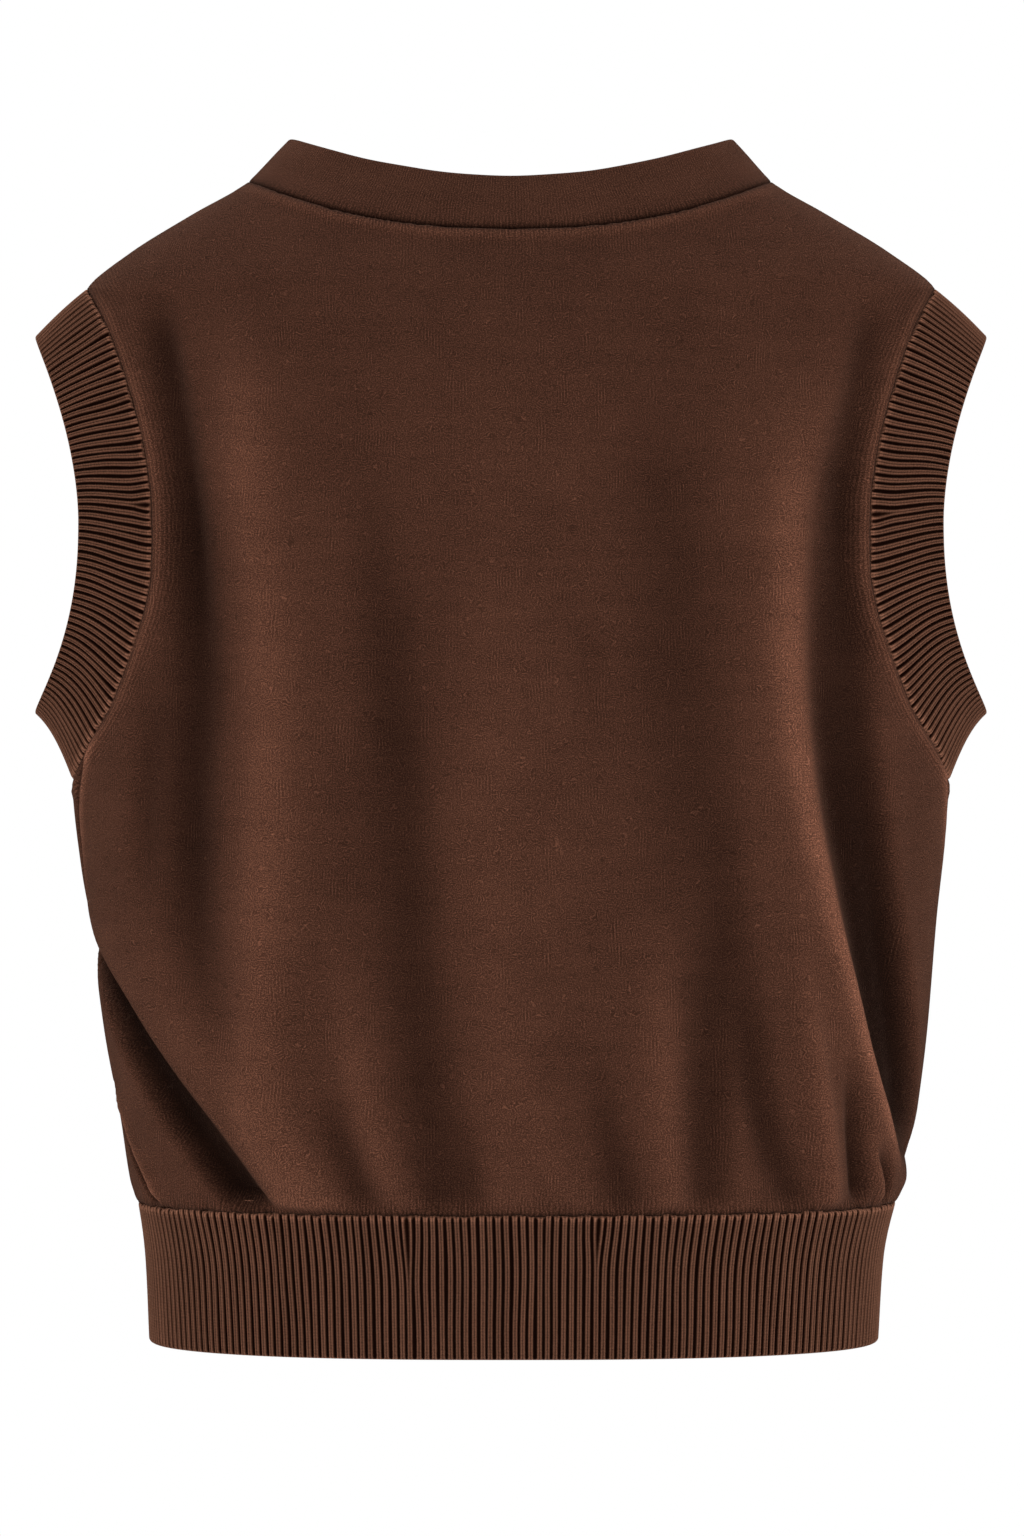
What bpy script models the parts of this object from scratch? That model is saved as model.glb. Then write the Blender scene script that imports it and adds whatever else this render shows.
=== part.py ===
"""Knitted sweater vest, hollow as when worn: back, front, neckband, ribbed armbands and ribbed hem band.

Metres, +Z up, front towards -Y, the wearer's left at +X. The origin lies midway between the two shoulder
seams. Every piece is a thin closed wall on one shared torso form, parted from its neighbours at the seams.
A place on that form is an angle round the body, 0 at the middle of the back, a quarter turn at the left
side and half a turn at the middle of the front, and a height above the bottom edge.
"""

import math

import bmesh
import bpy
import numpy as np

MM = 0.001
QUARTER = math.pi / 2

# Heights above the bottom edge.
HEM_SEAM = 68 * MM
ARMPIT = 273 * MM
SHOULDER_TIP = 514 * MM
NECK_POINT = 566 * MM
BAND_PEAK = 587.5 * MM
BACK_NECK_SEAM = 538 * MM
BACK_NECK_EDGE = 565 * MM
V_SEAM = 402 * MM
V_EDGE = 450 * MM
ORIGIN_HEIGHT = 540 * MM

# Cloth and seams.
JERSEY = 2.0 * MM
NECKBAND_THICKNESS = 3.2 * MM
RIB_BASE_THICKNESS = 3.0 * MM
RIB_RISE = 1.3 * MM
RIB_SINK = 1.1 * MM
SEAM_GAP = 0.35 * MM
HEM_RIBS = 240
ARMBAND_RIBS = 152
ARMBAND_WIDTH = 36 * MM
NECKBAND_WIDTH = 30 * MM
BELLOWS_FADE = 14 * MM

MEAN_RADIUS = 170 * MM

# The torso form: outline and depth of a level section at each height, in millimetres, and how square its
# corners are, where 2 is an ellipse.
SECTION_COLUMNS = ("height", "left", "right", "back", "front", "square")
SECTIONS = (
    (0, 177.5, 180, 112, 110, 2.35),
    (40, 179.5, 182, 113, 111, 2.5),
    (68, 183, 188, 116, 114, 2.6),
    (80, 187.5, 194, 120, 119, 2.55),
    (110, 192.5, 199, 123, 123, 2.5),
    (150, 198.5, 203.5, 123, 126, 2.4),
    (205, 206, 208, 119, 127, 2.25),
    (273, 214.5, 214.5, 113, 124, 2.05),
    (330, 217, 217, 111, 120, 1.95),
    (400, 218, 218, 109, 115, 1.95),
    (450, 219, 219, 105, 107, 1.95),
    (490, 217.5, 217.5, 94, 94, 2.0),
    (505, 212, 212, 87, 86, 2.05),
    (514, 206.5, 206, 83, 81, 2.1),
    (531, 187, 186, 73, 69, 2.1),
    (550, 156.5, 155, 62, 56, 2.1),
    (566, 129, 128, 54, 47, 2.1),
    (587.5, 108, 108, 45, 39, 2.1),
    (600, 98, 98, 40, 35, 2.1),
)

# Folds of the loose cloth. Each runs down the torso along a smooth line through three angles in degrees,
# from its top height to its bottom height in millimetres. Rise is outwards, and troughs are negative. A fold
# fades over a share of its length at each end.
FOLD_COLUMNS = (
    "top",
    "bottom",
    "top_angle",
    "mid_angle",
    "bottom_angle",
    "half_width",
    "rise",
    "fade_in",
    "fade_out",
)
FOLDS = (
    (220, 60, 86, 46, 27, 18, 8, 0.35, 0.0),
    (226, 60, 98, 61, 43, 17, -11, 0.35, 0.0),
    (150, 62, 84, 68, 56, 13, 3, 0.4, 0.0),
    (495, 190, 52, 45, 43, 19, -5, 0.3, 0.5),
    (470, 110, 38, 36, 35, 19, 3, 0.4, 0.4),
    (250, 66, 13, 12, 5, 20, -3.5, 0.5, 0.0),
    (130, 66, 26, 25, 24, 13, -3, 0.5, 0.0),
    (440, 80, -38, -38, -66, 18, 7, 0.35, 0.3),
    (440, 80, -46, -48, -78, 17, -9, 0.3, 0.15),
    (170, 66, -20, -22, -23, 17, -3, 0.6, 0.0),
    (125, 62, -50, -52, -53, 11, -4, 0.5, 0.0),
    (230, 60, 96, 128, 150, 18, 7, 0.35, 0.0),
    (230, 60, 84, 116, 138, 16, -9, 0.35, 0.0),
    (350, 70, -146, -138, -114, 19, 6, 0.35, 0.2),
    (350, 70, -136, -128, -102, 17, -8, 0.3, 0.15),
    (250, 66, 172, 174, 178, 20, -3.5, 0.5, 0.0),
    (150, 66, -166, -164, -163, 16, -3, 0.5, 0.0),
    (470, 210, -134, -136, -138, 20, -4, 0.3, 0.5),
    (470, 210, 134, 136, 138, 20, -4, 0.3, 0.5),
)

# The armhole seam: its reach from the middle of the body at each height, in millimetres.
ARMHOLE_COLUMNS = ("height", "back", "front")
ARMHOLE = (
    (273, 214.5, 214.5),
    (290, 205.5, 205),
    (308, 194, 192),
    (324, 187, 184),
    (341, 181, 177),
    (358, 175.5, 171.5),
    (372, 173, 169),
    (389, 172.5, 168),
    (408, 173, 168.5),
    (423, 175, 170.5),
    (443, 179, 175),
    (467, 186, 183),
    (492, 195.5, 194),
    (514, 206.5, 206),
)

# The armband's outer ring, as worn.
OPENING_TOP = 490 * MM
OPENING_BOTTOM = 306.5 * MM
OPENING_DEPTH = {"back": 56 * MM, "front": 61 * MM}
OPENING_REACH = 207 * MM
OPENING_FLARE = 26.5 * MM

# Mesh density. Crowding draws a panel's columns towards its folds and its rows along the armhole.
PANEL_COLUMNS = 40
COLUMN_CROWD = 0.2
RING_CROWD = 0.06
SIDE_ROWS = 12
ARMHOLE_ROWS = 13
SHOULDER_ROWS = 3
PANEL_ROWS = SIDE_ROWS + ARMHOLE_ROWS + SHOULDER_ROWS
HEM_INNER_COLUMNS = 120
ARMBAND_INNER_COLUMNS = 76
RIBBED_ROWS = 1
NECKBAND_ROWS = 2
SHARP_ANGLE = math.radians(50)

CLOTH_COLOUR = (0.072, 0.031, 0.021, 1.0)
RIB_COLOUR = (0.066, 0.028, 0.019, 1.0)


def column(table, names, name):
    return np.array([row[names.index(name)] for row in table], float)


def smooth_through(at, knots, values):
    """A cubic through the table's points that never overshoots them."""
    step = np.diff(knots)
    slope = np.diff(values) / step
    product = slope[:-1] * slope[1:]
    inner = np.where(product > 0, 2 * product / np.where(product > 0, slope[:-1] + slope[1:], 1), 0)
    tangent = np.concatenate([slope[:1], inner, slope[-1:]])
    cell = np.clip(np.searchsorted(knots, at) - 1, 0, len(step) - 1)
    t = (at - knots[cell]) / step[cell]
    return (
        values[cell] * (1 + 2 * t) * (1 - t) ** 2
        + step[cell] * tangent[cell] * t * (1 - t) ** 2
        + values[cell + 1] * t**2 * (3 - 2 * t)
        + step[cell] * tangent[cell + 1] * t**2 * (t - 1)
    )


def read_table(table, names, name, height):
    """A column of a table that is listed by height, in millimetres, read at any height in metres."""
    return smooth_through(height / MM, column(table, names, "height"), column(table, names, name))


def section(name, height):
    return read_table(SECTIONS, SECTION_COLUMNS, name, height) * MM


def squareness(height):
    return read_table(SECTIONS, SECTION_COLUMNS, "square", height)


def side_reach(angle, height):
    """How far the torso form reaches sideways on the side that the angle is on."""
    return np.where(np.sin(angle) >= 0, section("left", height), section("right", height))


def torso(angle, height):
    """The plain torso form, without folds."""
    across = np.sin(angle)
    along = np.cos(angle)
    power = squareness(height)
    reach = (np.abs(across) ** power + np.abs(along) ** power) ** (-1 / power)
    depth = np.where(along >= 0, section("back", height), section("front", height))
    return np.stack([side_reach(angle, height) * reach * across, depth * reach * along, height], axis=-1)


def angle_at(share, height, at_back, on_left):
    """The angle of the point of a level section that lies at this share of the way out to its side."""
    power = squareness(height)
    share = np.clip(share, 0, 1)
    along = (1 - share**power) ** (1 / power)
    angle = np.arctan2(share, np.where(at_back, along, -along))
    return np.where(on_left, angle, -angle)


def unit(vectors):
    return vectors / np.linalg.norm(vectors, axis=-1, keepdims=True)


def outward(form, angle, height):
    """The outward normal of a form that is given by angle and height."""
    turn = 0.002
    lift = 0.4 * MM
    round_body = form(angle + turn, height) - form(angle - turn, height)
    upward = form(angle, height + lift) - form(angle, height - lift)
    return unit(np.cross(upward, round_body))


def armhole_seam(ring, side):
    """Angle and height of the armhole seam, with ring 0 at the shoulder tip, a quarter at the back and a
    half at the armpit."""
    at_back = np.sin(ring) >= 0
    height = (SHOULDER_TIP + ARMPIT) / 2 + (SHOULDER_TIP - ARMPIT) / 2 * np.cos(ring)
    back = read_table(ARMHOLE, ARMHOLE_COLUMNS, "back", height)
    front = read_table(ARMHOLE, ARMHOLE_COLUMNS, "front", height)
    share = np.where(at_back, back, front) * MM / section("left" if side > 0 else "right", height)
    tip = np.abs(np.sin(ring)) < 1e-6
    return angle_at(np.where(tip, 1, share), height, at_back, side > 0), height


def neck_line(turn, back_height, side_height, front_height, back_power, front_power):
    """Angle and height of a line round the neck. Turn runs like the body's angle."""
    share = np.abs(np.sin(turn))
    at_back = np.cos(turn) >= 0
    middle = np.where(at_back, back_height, front_height)
    height = middle + (side_height - middle) * share ** np.where(at_back, back_power, front_power)
    share = share * side_reach(turn, np.full_like(height, side_height)) / side_reach(turn, height)
    return angle_at(share, height, at_back, np.sin(turn) >= 0), height


def neck_seam(turn):
    return neck_line(turn, BACK_NECK_SEAM, NECK_POINT, V_SEAM, 2.4, 1.12)


def neck_edge(turn):
    return neck_line(turn, BACK_NECK_EDGE, BAND_PEAK, V_EDGE, 2.0, 1.12)


def ease(value):
    value = np.clip(value, 0, 1)
    return value * value * (3 - 2 * value)


def seam_calm(angle, height):
    """0 on the seams that hold the cloth to its bands and 1 away from them."""
    calm = ease((height - HEM_SEAM) / BELLOWS_FADE)
    rings = np.linspace(-math.pi, math.pi, 49)
    nearest = np.full(np.shape(height), 1.0)
    for side in (1, -1):
        for seam_angle, seam_height in zip(*armhole_seam(rings, side)):
            gap = np.hypot((angle - seam_angle) * MEAN_RADIUS, height - seam_height)
            nearest = np.minimum(nearest, gap)
    for seam_angle, seam_height in zip(*neck_seam(rings)):
        gap = np.hypot((angle - seam_angle) * MEAN_RADIUS, height - seam_height)
        nearest = np.minimum(nearest, gap)
    return calm * ease(nearest / (2 * BELLOWS_FADE))


def fold_rise(angle, height):
    """How far the folds lift the cloth off the torso form."""
    total = np.zeros(np.shape(height))
    for row in FOLDS:
        fold = dict(zip(FOLD_COLUMNS, row))
        top, bottom = fold["top"] * MM, fold["bottom"] * MM
        up = (height - bottom) / (top - bottom)
        spine = np.radians(
            fold["bottom_angle"] * (1 - up) * (1 - 2 * up)
            + fold["mid_angle"] * 4 * up * (1 - up)
            + fold["top_angle"] * up * (2 * up - 1)
        )
        turn = (angle - spine + math.pi) % (2 * math.pi) - math.pi
        lean = np.radians(fold["top_angle"] - fold["bottom_angle"]) * MEAN_RADIUS / (top - bottom)
        away = turn * MEAN_RADIUS / math.hypot(1, lean)
        body = np.exp(-((away / (fold["half_width"] * MM)) ** 2))
        ends = ease((1 - up) / fold["fade_in"]) * ease(up / max(fold["fade_out"], 0.02))
        total = total + fold["rise"] * MM * body * ends
    return total * seam_calm(angle, height)


def cloth(angle, height):
    """The outer face of the front and back: the torso form with its folds."""
    return torso(angle, height) + outward(torso, angle, height) * fold_rise(angle, height)[..., None]


def panel_places(across, up, is_back):
    """Angle and height of a point of the back or front. Across runs from -1 to 1 and up counts rows."""
    side_share = np.clip(up / SIDE_ROWS, 0, 1)
    armhole_share = np.clip((up - SIDE_ROWS) / ARMHOLE_ROWS, 0, 1)
    shoulder_share = np.clip((up - SIDE_ROWS - ARMHOLE_ROWS) / SHOULDER_ROWS, 0, 1)
    ring = math.pi * (1 - armhole_share)
    ring = ring + RING_CROWD * np.sin(2 * ring)
    edge_angle, edge_height = armhole_seam(ring if is_back else -ring, 1)
    edge_angle = edge_angle if is_back else math.pi - edge_angle
    on_side = up <= SIDE_ROWS
    on_shoulder = up > SIDE_ROWS + ARMHOLE_ROWS
    edge_height = np.where(on_side, HEM_SEAM + (ARMPIT - HEM_SEAM) * side_share, edge_height)
    shoulder_height = SHOULDER_TIP + (NECK_POINT - SHOULDER_TIP) * shoulder_share
    edge_height = np.where(on_shoulder, shoulder_height, edge_height)
    edge_angle = np.where(on_side | on_shoulder, QUARTER, edge_angle)

    top_angle, top_height = neck_seam(across * QUARTER if is_back else math.pi - across * QUARTER)
    top_angle = top_angle if is_back else np.where(across >= 0, math.pi - top_angle, -math.pi - top_angle)
    middle_height = HEM_SEAM + (NECK_POINT - HEM_SEAM) * up / PANEL_ROWS
    height = middle_height + (edge_height - middle_height) * np.abs(across) ** 3
    rise = ((height - HEM_SEAM) / (NECK_POINT - HEM_SEAM)) ** 2
    angle = across * edge_angle + rise * (top_angle - across * QUARTER)
    height = height - rise * (NECK_POINT - top_height)
    return (angle if is_back else math.pi - angle), height


def crowded(across):
    """Draws evenly spaced columns, counted in quarters of the body, towards the middle of each quarter."""
    return across + COLUMN_CROWD * np.sin(2 * math.pi * across) / (2 * math.pi)


def clear_of_seams(angle, height, is_back):
    """Draws a panel's sides and bottom back by half the gap that parts it from its neighbours."""
    limit = QUARTER - SEAM_GAP / MEAN_RADIUS
    from_middle = angle if is_back else (math.pi - angle + math.pi) % (2 * math.pi) - math.pi
    from_middle = np.clip(from_middle, -limit, limit)
    return (from_middle if is_back else math.pi - from_middle), np.maximum(height, HEM_SEAM + SEAM_GAP / 2)


def panel_wall(is_back):
    """Outer and inner points of the back or front, as functions of the grid's own coordinates."""

    def face(depth):
        def place(across, up):
            places = panel_places(crowded(2 * across - 1), up * PANEL_ROWS, is_back)
            angle, height = clear_of_seams(*places, is_back)
            return cloth(angle, height) - outward(cloth, angle, height) * depth

        return place

    return face(0), face(JERSEY)


def ribbed(columns, rise):
    """The height of the ribs on a grid whose columns stand on ridge and groove by turns."""
    return lambda round_share: rise * (np.round(round_share * columns) % 2 == 0)


def hem_wall():
    """Outer and inner points of the hem band."""

    def face(depth, rib):
        def place(round_share, up):
            angle = 2 * math.pi * round_share
            height = up * (HEM_SEAM - SEAM_GAP / 2)
            lift = rib(round_share) - RIB_SINK - depth
            return torso(angle, height) + outward(torso, angle, height) * lift[..., None]

        return place

    plain = lambda round_share: np.zeros(np.shape(round_share))
    return face(0, ribbed(2 * HEM_RIBS, RIB_RISE)), face(RIB_BASE_THICKNESS, plain)


def even_ring(ring_points, share):
    """Ring angles that space points evenly along each half of a ring of points, top to bottom."""
    share = (share + 1) % 2 - 1
    fine = np.linspace(0, math.pi, 181)
    found = np.zeros(np.shape(share))
    for side in (1, -1):
        steps = np.linalg.norm(np.diff(ring_points(side * fine), axis=0), axis=1)
        walked = np.concatenate([[0], np.cumsum(steps)]) / steps.sum()
        half = np.interp(np.abs(share), walked, fine)
        found = np.where(share * side > 0, side * half, found)
    return found


def armband_rings(side):
    """The armband's seam ring and its opening ring, as functions of the ring angle."""

    rows = math.pi * np.arange(-ARMHOLE_ROWS, ARMHOLE_ROWS + 1) / ARMHOLE_ROWS
    rows = rows + RING_CROWD * np.sin(2 * rows)

    def along_rows(values, ring):
        return np.stack([np.interp(ring, rows, part) for part in values.T], axis=-1)

    def seam(ring):
        return along_rows(torso(*armhole_seam(rows, side)), ring)

    def seam_normal(ring):
        return unit(along_rows(outward(torso, *armhole_seam(rows, side)), ring))

    def opening(ring):
        swing = np.sin(ring)
        depth = np.where(swing >= 0, OPENING_DEPTH["back"], OPENING_DEPTH["front"])
        middle = (OPENING_TOP + OPENING_BOTTOM) / 2
        half = (OPENING_TOP - OPENING_BOTTOM) / 2
        reach = OPENING_REACH + OPENING_FLARE * np.abs(np.cos(ring)) ** 1.8
        return np.stack([side * reach, depth * swing, middle + half * np.cos(ring)], axis=-1)

    return seam, seam_normal, opening


def armband_wall(side):
    """Outer and inner points of one armband."""
    seam, seam_normal, opening = armband_rings(side)

    def middle_face(share, across):
        inner = seam(even_ring(seam, share))
        outer = opening(even_ring(opening, share))
        return inner + (outer - inner) * across[..., None]

    def normal(share, across):
        step = 0.004
        round_ring = middle_face(share + step, across) - middle_face(share - step, across)
        along_rib = middle_face(share, across + step) - middle_face(share, across - step)
        return unit(np.cross(along_rib, round_ring)) * side

    def face(depth, rib):
        def place(round_share, across):
            share = 2 * round_share - 1
            start = SEAM_GAP / ARMBAND_WIDTH
            across = start + (1 - start) * across
            lift = rib(round_share) - RIB_SINK - depth
            turned = ease(across)[..., None]
            mitred = seam_normal(even_ring(seam, share)) * (1 - turned) + normal(share, across) * turned
            return middle_face(share, across) + unit(mitred) * lift[..., None]

        return place

    plain = lambda round_share: np.zeros(np.shape(round_share))
    return face(0, ribbed(2 * ARMBAND_RIBS, RIB_RISE)), face(RIB_BASE_THICKNESS, plain)


def neckband_wall():
    """Outer and inner points of the neckband."""

    def face(depth):
        def place(round_share, up):
            turn = QUARTER * crowded(4 * round_share - 2)
            seam_angle, seam_height = neck_seam(turn)
            edge_angle, edge_height = neck_edge(turn)
            start = SEAM_GAP / NECKBAND_WIDTH
            up = start + (1 - start) * up
            angle = seam_angle + (edge_angle - seam_angle) * up
            height = seam_height + (edge_height - seam_height) * up
            return torso(angle, height) - outward(torso, angle, height) * depth

        return place

    return face(0), face(NECKBAND_THICKNESS)


def face_grid(place, columns, rows, closed, first):
    """Points of one face of a wall and their numbers, row by row. On a ring the last column is the first."""
    across, up = np.meshgrid(np.linspace(0, 1, columns + 1), np.linspace(0, 1, rows + 1))
    points = place(across, up) - [0, 0, ORIGIN_HEIGHT]
    kept = columns if closed else columns + 1
    numbers = first + np.arange((rows + 1) * kept).reshape(rows + 1, kept)
    if closed:
        numbers = np.hstack([numbers, numbers[:, :1]])
    return points[:, :kept].reshape(-1, 3), numbers


def rim_strip(outer, inner):
    """Triangles between two edges, where each inner step meets the same whole number of outer ones."""
    ratio = (len(outer) - 1) // (len(inner) - 1)
    triangles = []
    for step in range(len(inner) - 1):
        start = step * ratio
        middle = start + ratio // 2
        for here in range(start, start + ratio):
            triangles.append((outer[here], outer[here + 1], inner[step + (here >= middle)]))
        triangles.append((outer[middle], inner[step + 1], inner[step]))
    return triangles


def add_wall(name, material, faces, outer_columns, inner_columns, rows, closed):
    """Makes one closed wall from its outer and inner faces, with a rim round every open edge."""
    outer_points, outer = face_grid(faces[0], outer_columns, rows, closed, 0)
    inner_points, inner = face_grid(faces[1], inner_columns, rows, closed, len(outer_points))
    polygons = []
    for numbers in (outer, inner):
        corners = (numbers[:-1, :-1], numbers[:-1, 1:], numbers[1:, 1:], numbers[1:, :-1])
        polygons += np.stack(corners, axis=-1).reshape(-1, 4).tolist()
    edges = [(outer[0], inner[0]), (outer[-1], inner[-1])]
    if not closed:
        edges += [(outer[:, 0], inner[:, 0]), (outer[:, -1], inner[:, -1])]
    for outer_edge, inner_edge in edges:
        polygons += rim_strip(outer_edge.tolist(), inner_edge.tolist())
    mesh = bpy.data.meshes.new(name)
    mesh.from_pydata(np.vstack([outer_points, inner_points]).tolist(), [], polygons)
    shape = bmesh.new()
    shape.from_mesh(mesh)
    bmesh.ops.triangulate(shape, faces=shape.faces)
    bmesh.ops.recalc_face_normals(shape, faces=shape.faces)
    shape.to_mesh(mesh)
    shape.free()
    mesh.polygons.foreach_set("use_smooth", [True] * len(mesh.polygons))
    mesh.set_sharp_from_angle(angle=SHARP_ANGLE)
    mesh.materials.append(material)
    obj = bpy.data.objects.new(name, mesh)
    bpy.context.scene.collection.objects.link(obj)
    return obj


def fabric(name, colour):
    """A soft dull cloth."""
    material = bpy.data.materials.new(name)
    material.use_nodes = True
    shader = material.node_tree.nodes["Principled BSDF"]
    shader.inputs["Base Color"].default_value = colour
    shader.inputs["Roughness"].default_value = 0.92
    shader.inputs["Metallic"].default_value = 0.0
    return material


def build_vest():
    for obj in list(bpy.data.objects):
        bpy.data.objects.remove(obj, do_unlink=True)
    jersey = fabric("brushed_jersey", CLOTH_COLOUR)
    rib_knit = fabric("rib_knit", RIB_COLOUR)
    for name, is_back in (("back", True), ("front", False)):
        add_wall(name, jersey, panel_wall(is_back), PANEL_COLUMNS, PANEL_COLUMNS, PANEL_ROWS, False)
    add_wall("hem_band", rib_knit, hem_wall(), 2 * HEM_RIBS, HEM_INNER_COLUMNS, RIBBED_ROWS, True)
    for name, side in (("armband_left", 1), ("armband_right", -1)):
        walls = armband_wall(side)
        add_wall(name, rib_knit, walls, 2 * ARMBAND_RIBS, ARMBAND_INNER_COLUMNS, RIBBED_ROWS, True)
    add_wall("neckband", jersey, neckband_wall(), 2 * PANEL_COLUMNS, 2 * PANEL_COLUMNS, NECKBAND_ROWS, True)


build_vest()
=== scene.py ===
"""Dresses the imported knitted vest: brushed panels and their folds, ribbed bands, seams, a pale studio."""

import math

import bmesh
import bpy
import numpy as np
from bpy.props import FloatProperty, FloatVectorProperty, IntProperty, PointerProperty
from bpy.types import Operator, Panel, PropertyGroup
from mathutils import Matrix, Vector
from mathutils.kdtree import KDTree


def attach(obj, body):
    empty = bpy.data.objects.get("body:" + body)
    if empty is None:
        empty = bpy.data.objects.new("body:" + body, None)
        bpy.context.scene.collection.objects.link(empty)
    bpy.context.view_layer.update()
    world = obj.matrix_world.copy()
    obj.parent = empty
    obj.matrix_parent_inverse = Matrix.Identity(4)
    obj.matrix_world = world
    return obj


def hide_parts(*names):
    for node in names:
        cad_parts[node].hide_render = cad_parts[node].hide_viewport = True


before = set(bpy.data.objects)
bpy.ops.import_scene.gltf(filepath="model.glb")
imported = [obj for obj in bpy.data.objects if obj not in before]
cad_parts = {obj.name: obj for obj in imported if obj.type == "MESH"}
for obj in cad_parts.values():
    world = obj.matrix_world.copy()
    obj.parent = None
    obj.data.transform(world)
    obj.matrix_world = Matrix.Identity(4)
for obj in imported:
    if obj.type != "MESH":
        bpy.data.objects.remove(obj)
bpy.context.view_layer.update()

bl_info = {
    "name": "Knitted Vest Dresser",
    "version": (1, 0, 0),
    "blender": (4, 5, 0),
    "location": "3D View > Sidebar > Vest",
    "description": "Makes the knit panels, ribbed bands and studio of a sleeveless knitted vest",
    "category": "Object",
}

MM = 0.001
TURN = 2 * math.pi
QUARTER = math.pi / 2

# Heights above the bottom edge, as in the solids.
HEM_SEAM = 68 * MM
ARMPIT = 273 * MM
SHOULDER_TIP = 514 * MM
NECK_POINT = 566 * MM
BAND_PEAK = 587.5 * MM
BACK_NECK_SEAM = 538 * MM
BACK_NECK_EDGE = 565 * MM
V_SEAM = 402 * MM
V_EDGE = 450 * MM
ORIGIN_HEIGHT = 540 * MM

# The torso form: outline and depth of a level section at each height, in millimetres, and how square its
# corners are, where 2 is an ellipse.
SECTION_COLUMNS = ("height", "left", "right", "back", "front", "square")
SECTIONS = (
    (0, 176.8, 179.5, 112, 110, 2.5),
    (40, 178.6, 182, 113, 111, 2.55),
    (68, 182.2, 188, 116, 114, 2.6),
    (80, 186, 193.5, 120, 119, 2.55),
    (110, 190.8, 198.3, 123, 123, 2.5),
    (150, 198.5, 203.5, 123, 126, 2.4),
    (205, 206, 208, 119, 127, 2.25),
    (273, 214.5, 214.5, 113, 124, 2.05),
    (330, 217, 217, 111, 120, 1.95),
    (400, 218, 218, 109, 115, 1.95),
    (450, 219, 219, 105, 107, 1.95),
    (490, 217.5, 217.5, 94, 94, 2.0),
    (505, 212, 212, 87, 86, 2.05),
    (514, 207.5, 207.5, 83, 81, 2.1),
    (531, 187, 186, 73, 69, 2.1),
    (550, 156.5, 155, 62, 56, 2.1),
    (566, 129, 128, 54, 47, 2.1),
    (587.5, 108, 108, 45, 39, 2.1),
    (600, 98, 98, 40, 35, 2.1),
)

# The armhole seam: its reach from the middle of the body at each height, in millimetres.
ARMHOLE_COLUMNS = ("height", "back", "front")
ARMHOLE = (
    (273, 214.5, 214.5),
    (290, 205.5, 205),
    (308, 194, 192),
    (324, 187, 184),
    (341, 181, 177),
    (358, 175.5, 171.5),
    (372, 173, 169),
    (389, 172.5, 168),
    (408, 173, 168.5),
    (423, 175, 170.5),
    (443, 179, 175),
    (467, 186, 183),
    (492, 195.5, 194),
    (514, 207.5, 207.5),
)

# The armband's outer ring, as worn.
OPENING_TOP = 490 * MM
OPENING_BOTTOM = 306.5 * MM
OPENING_DEPTH = {"back": 56 * MM, "front": 61 * MM}
OPENING_REACH = 208.5 * MM
OPENING_FLARE = 25 * MM
OPENING_POWER = {"top": 1.8, "bottom": 2.3}
ARMBAND_BOW = {"top": 1.0 * MM, "bottom": 4.8 * MM}
# The share of the way across at which an armband's ribs still leave its edges at right angles.
HANDLE = 0.3

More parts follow.
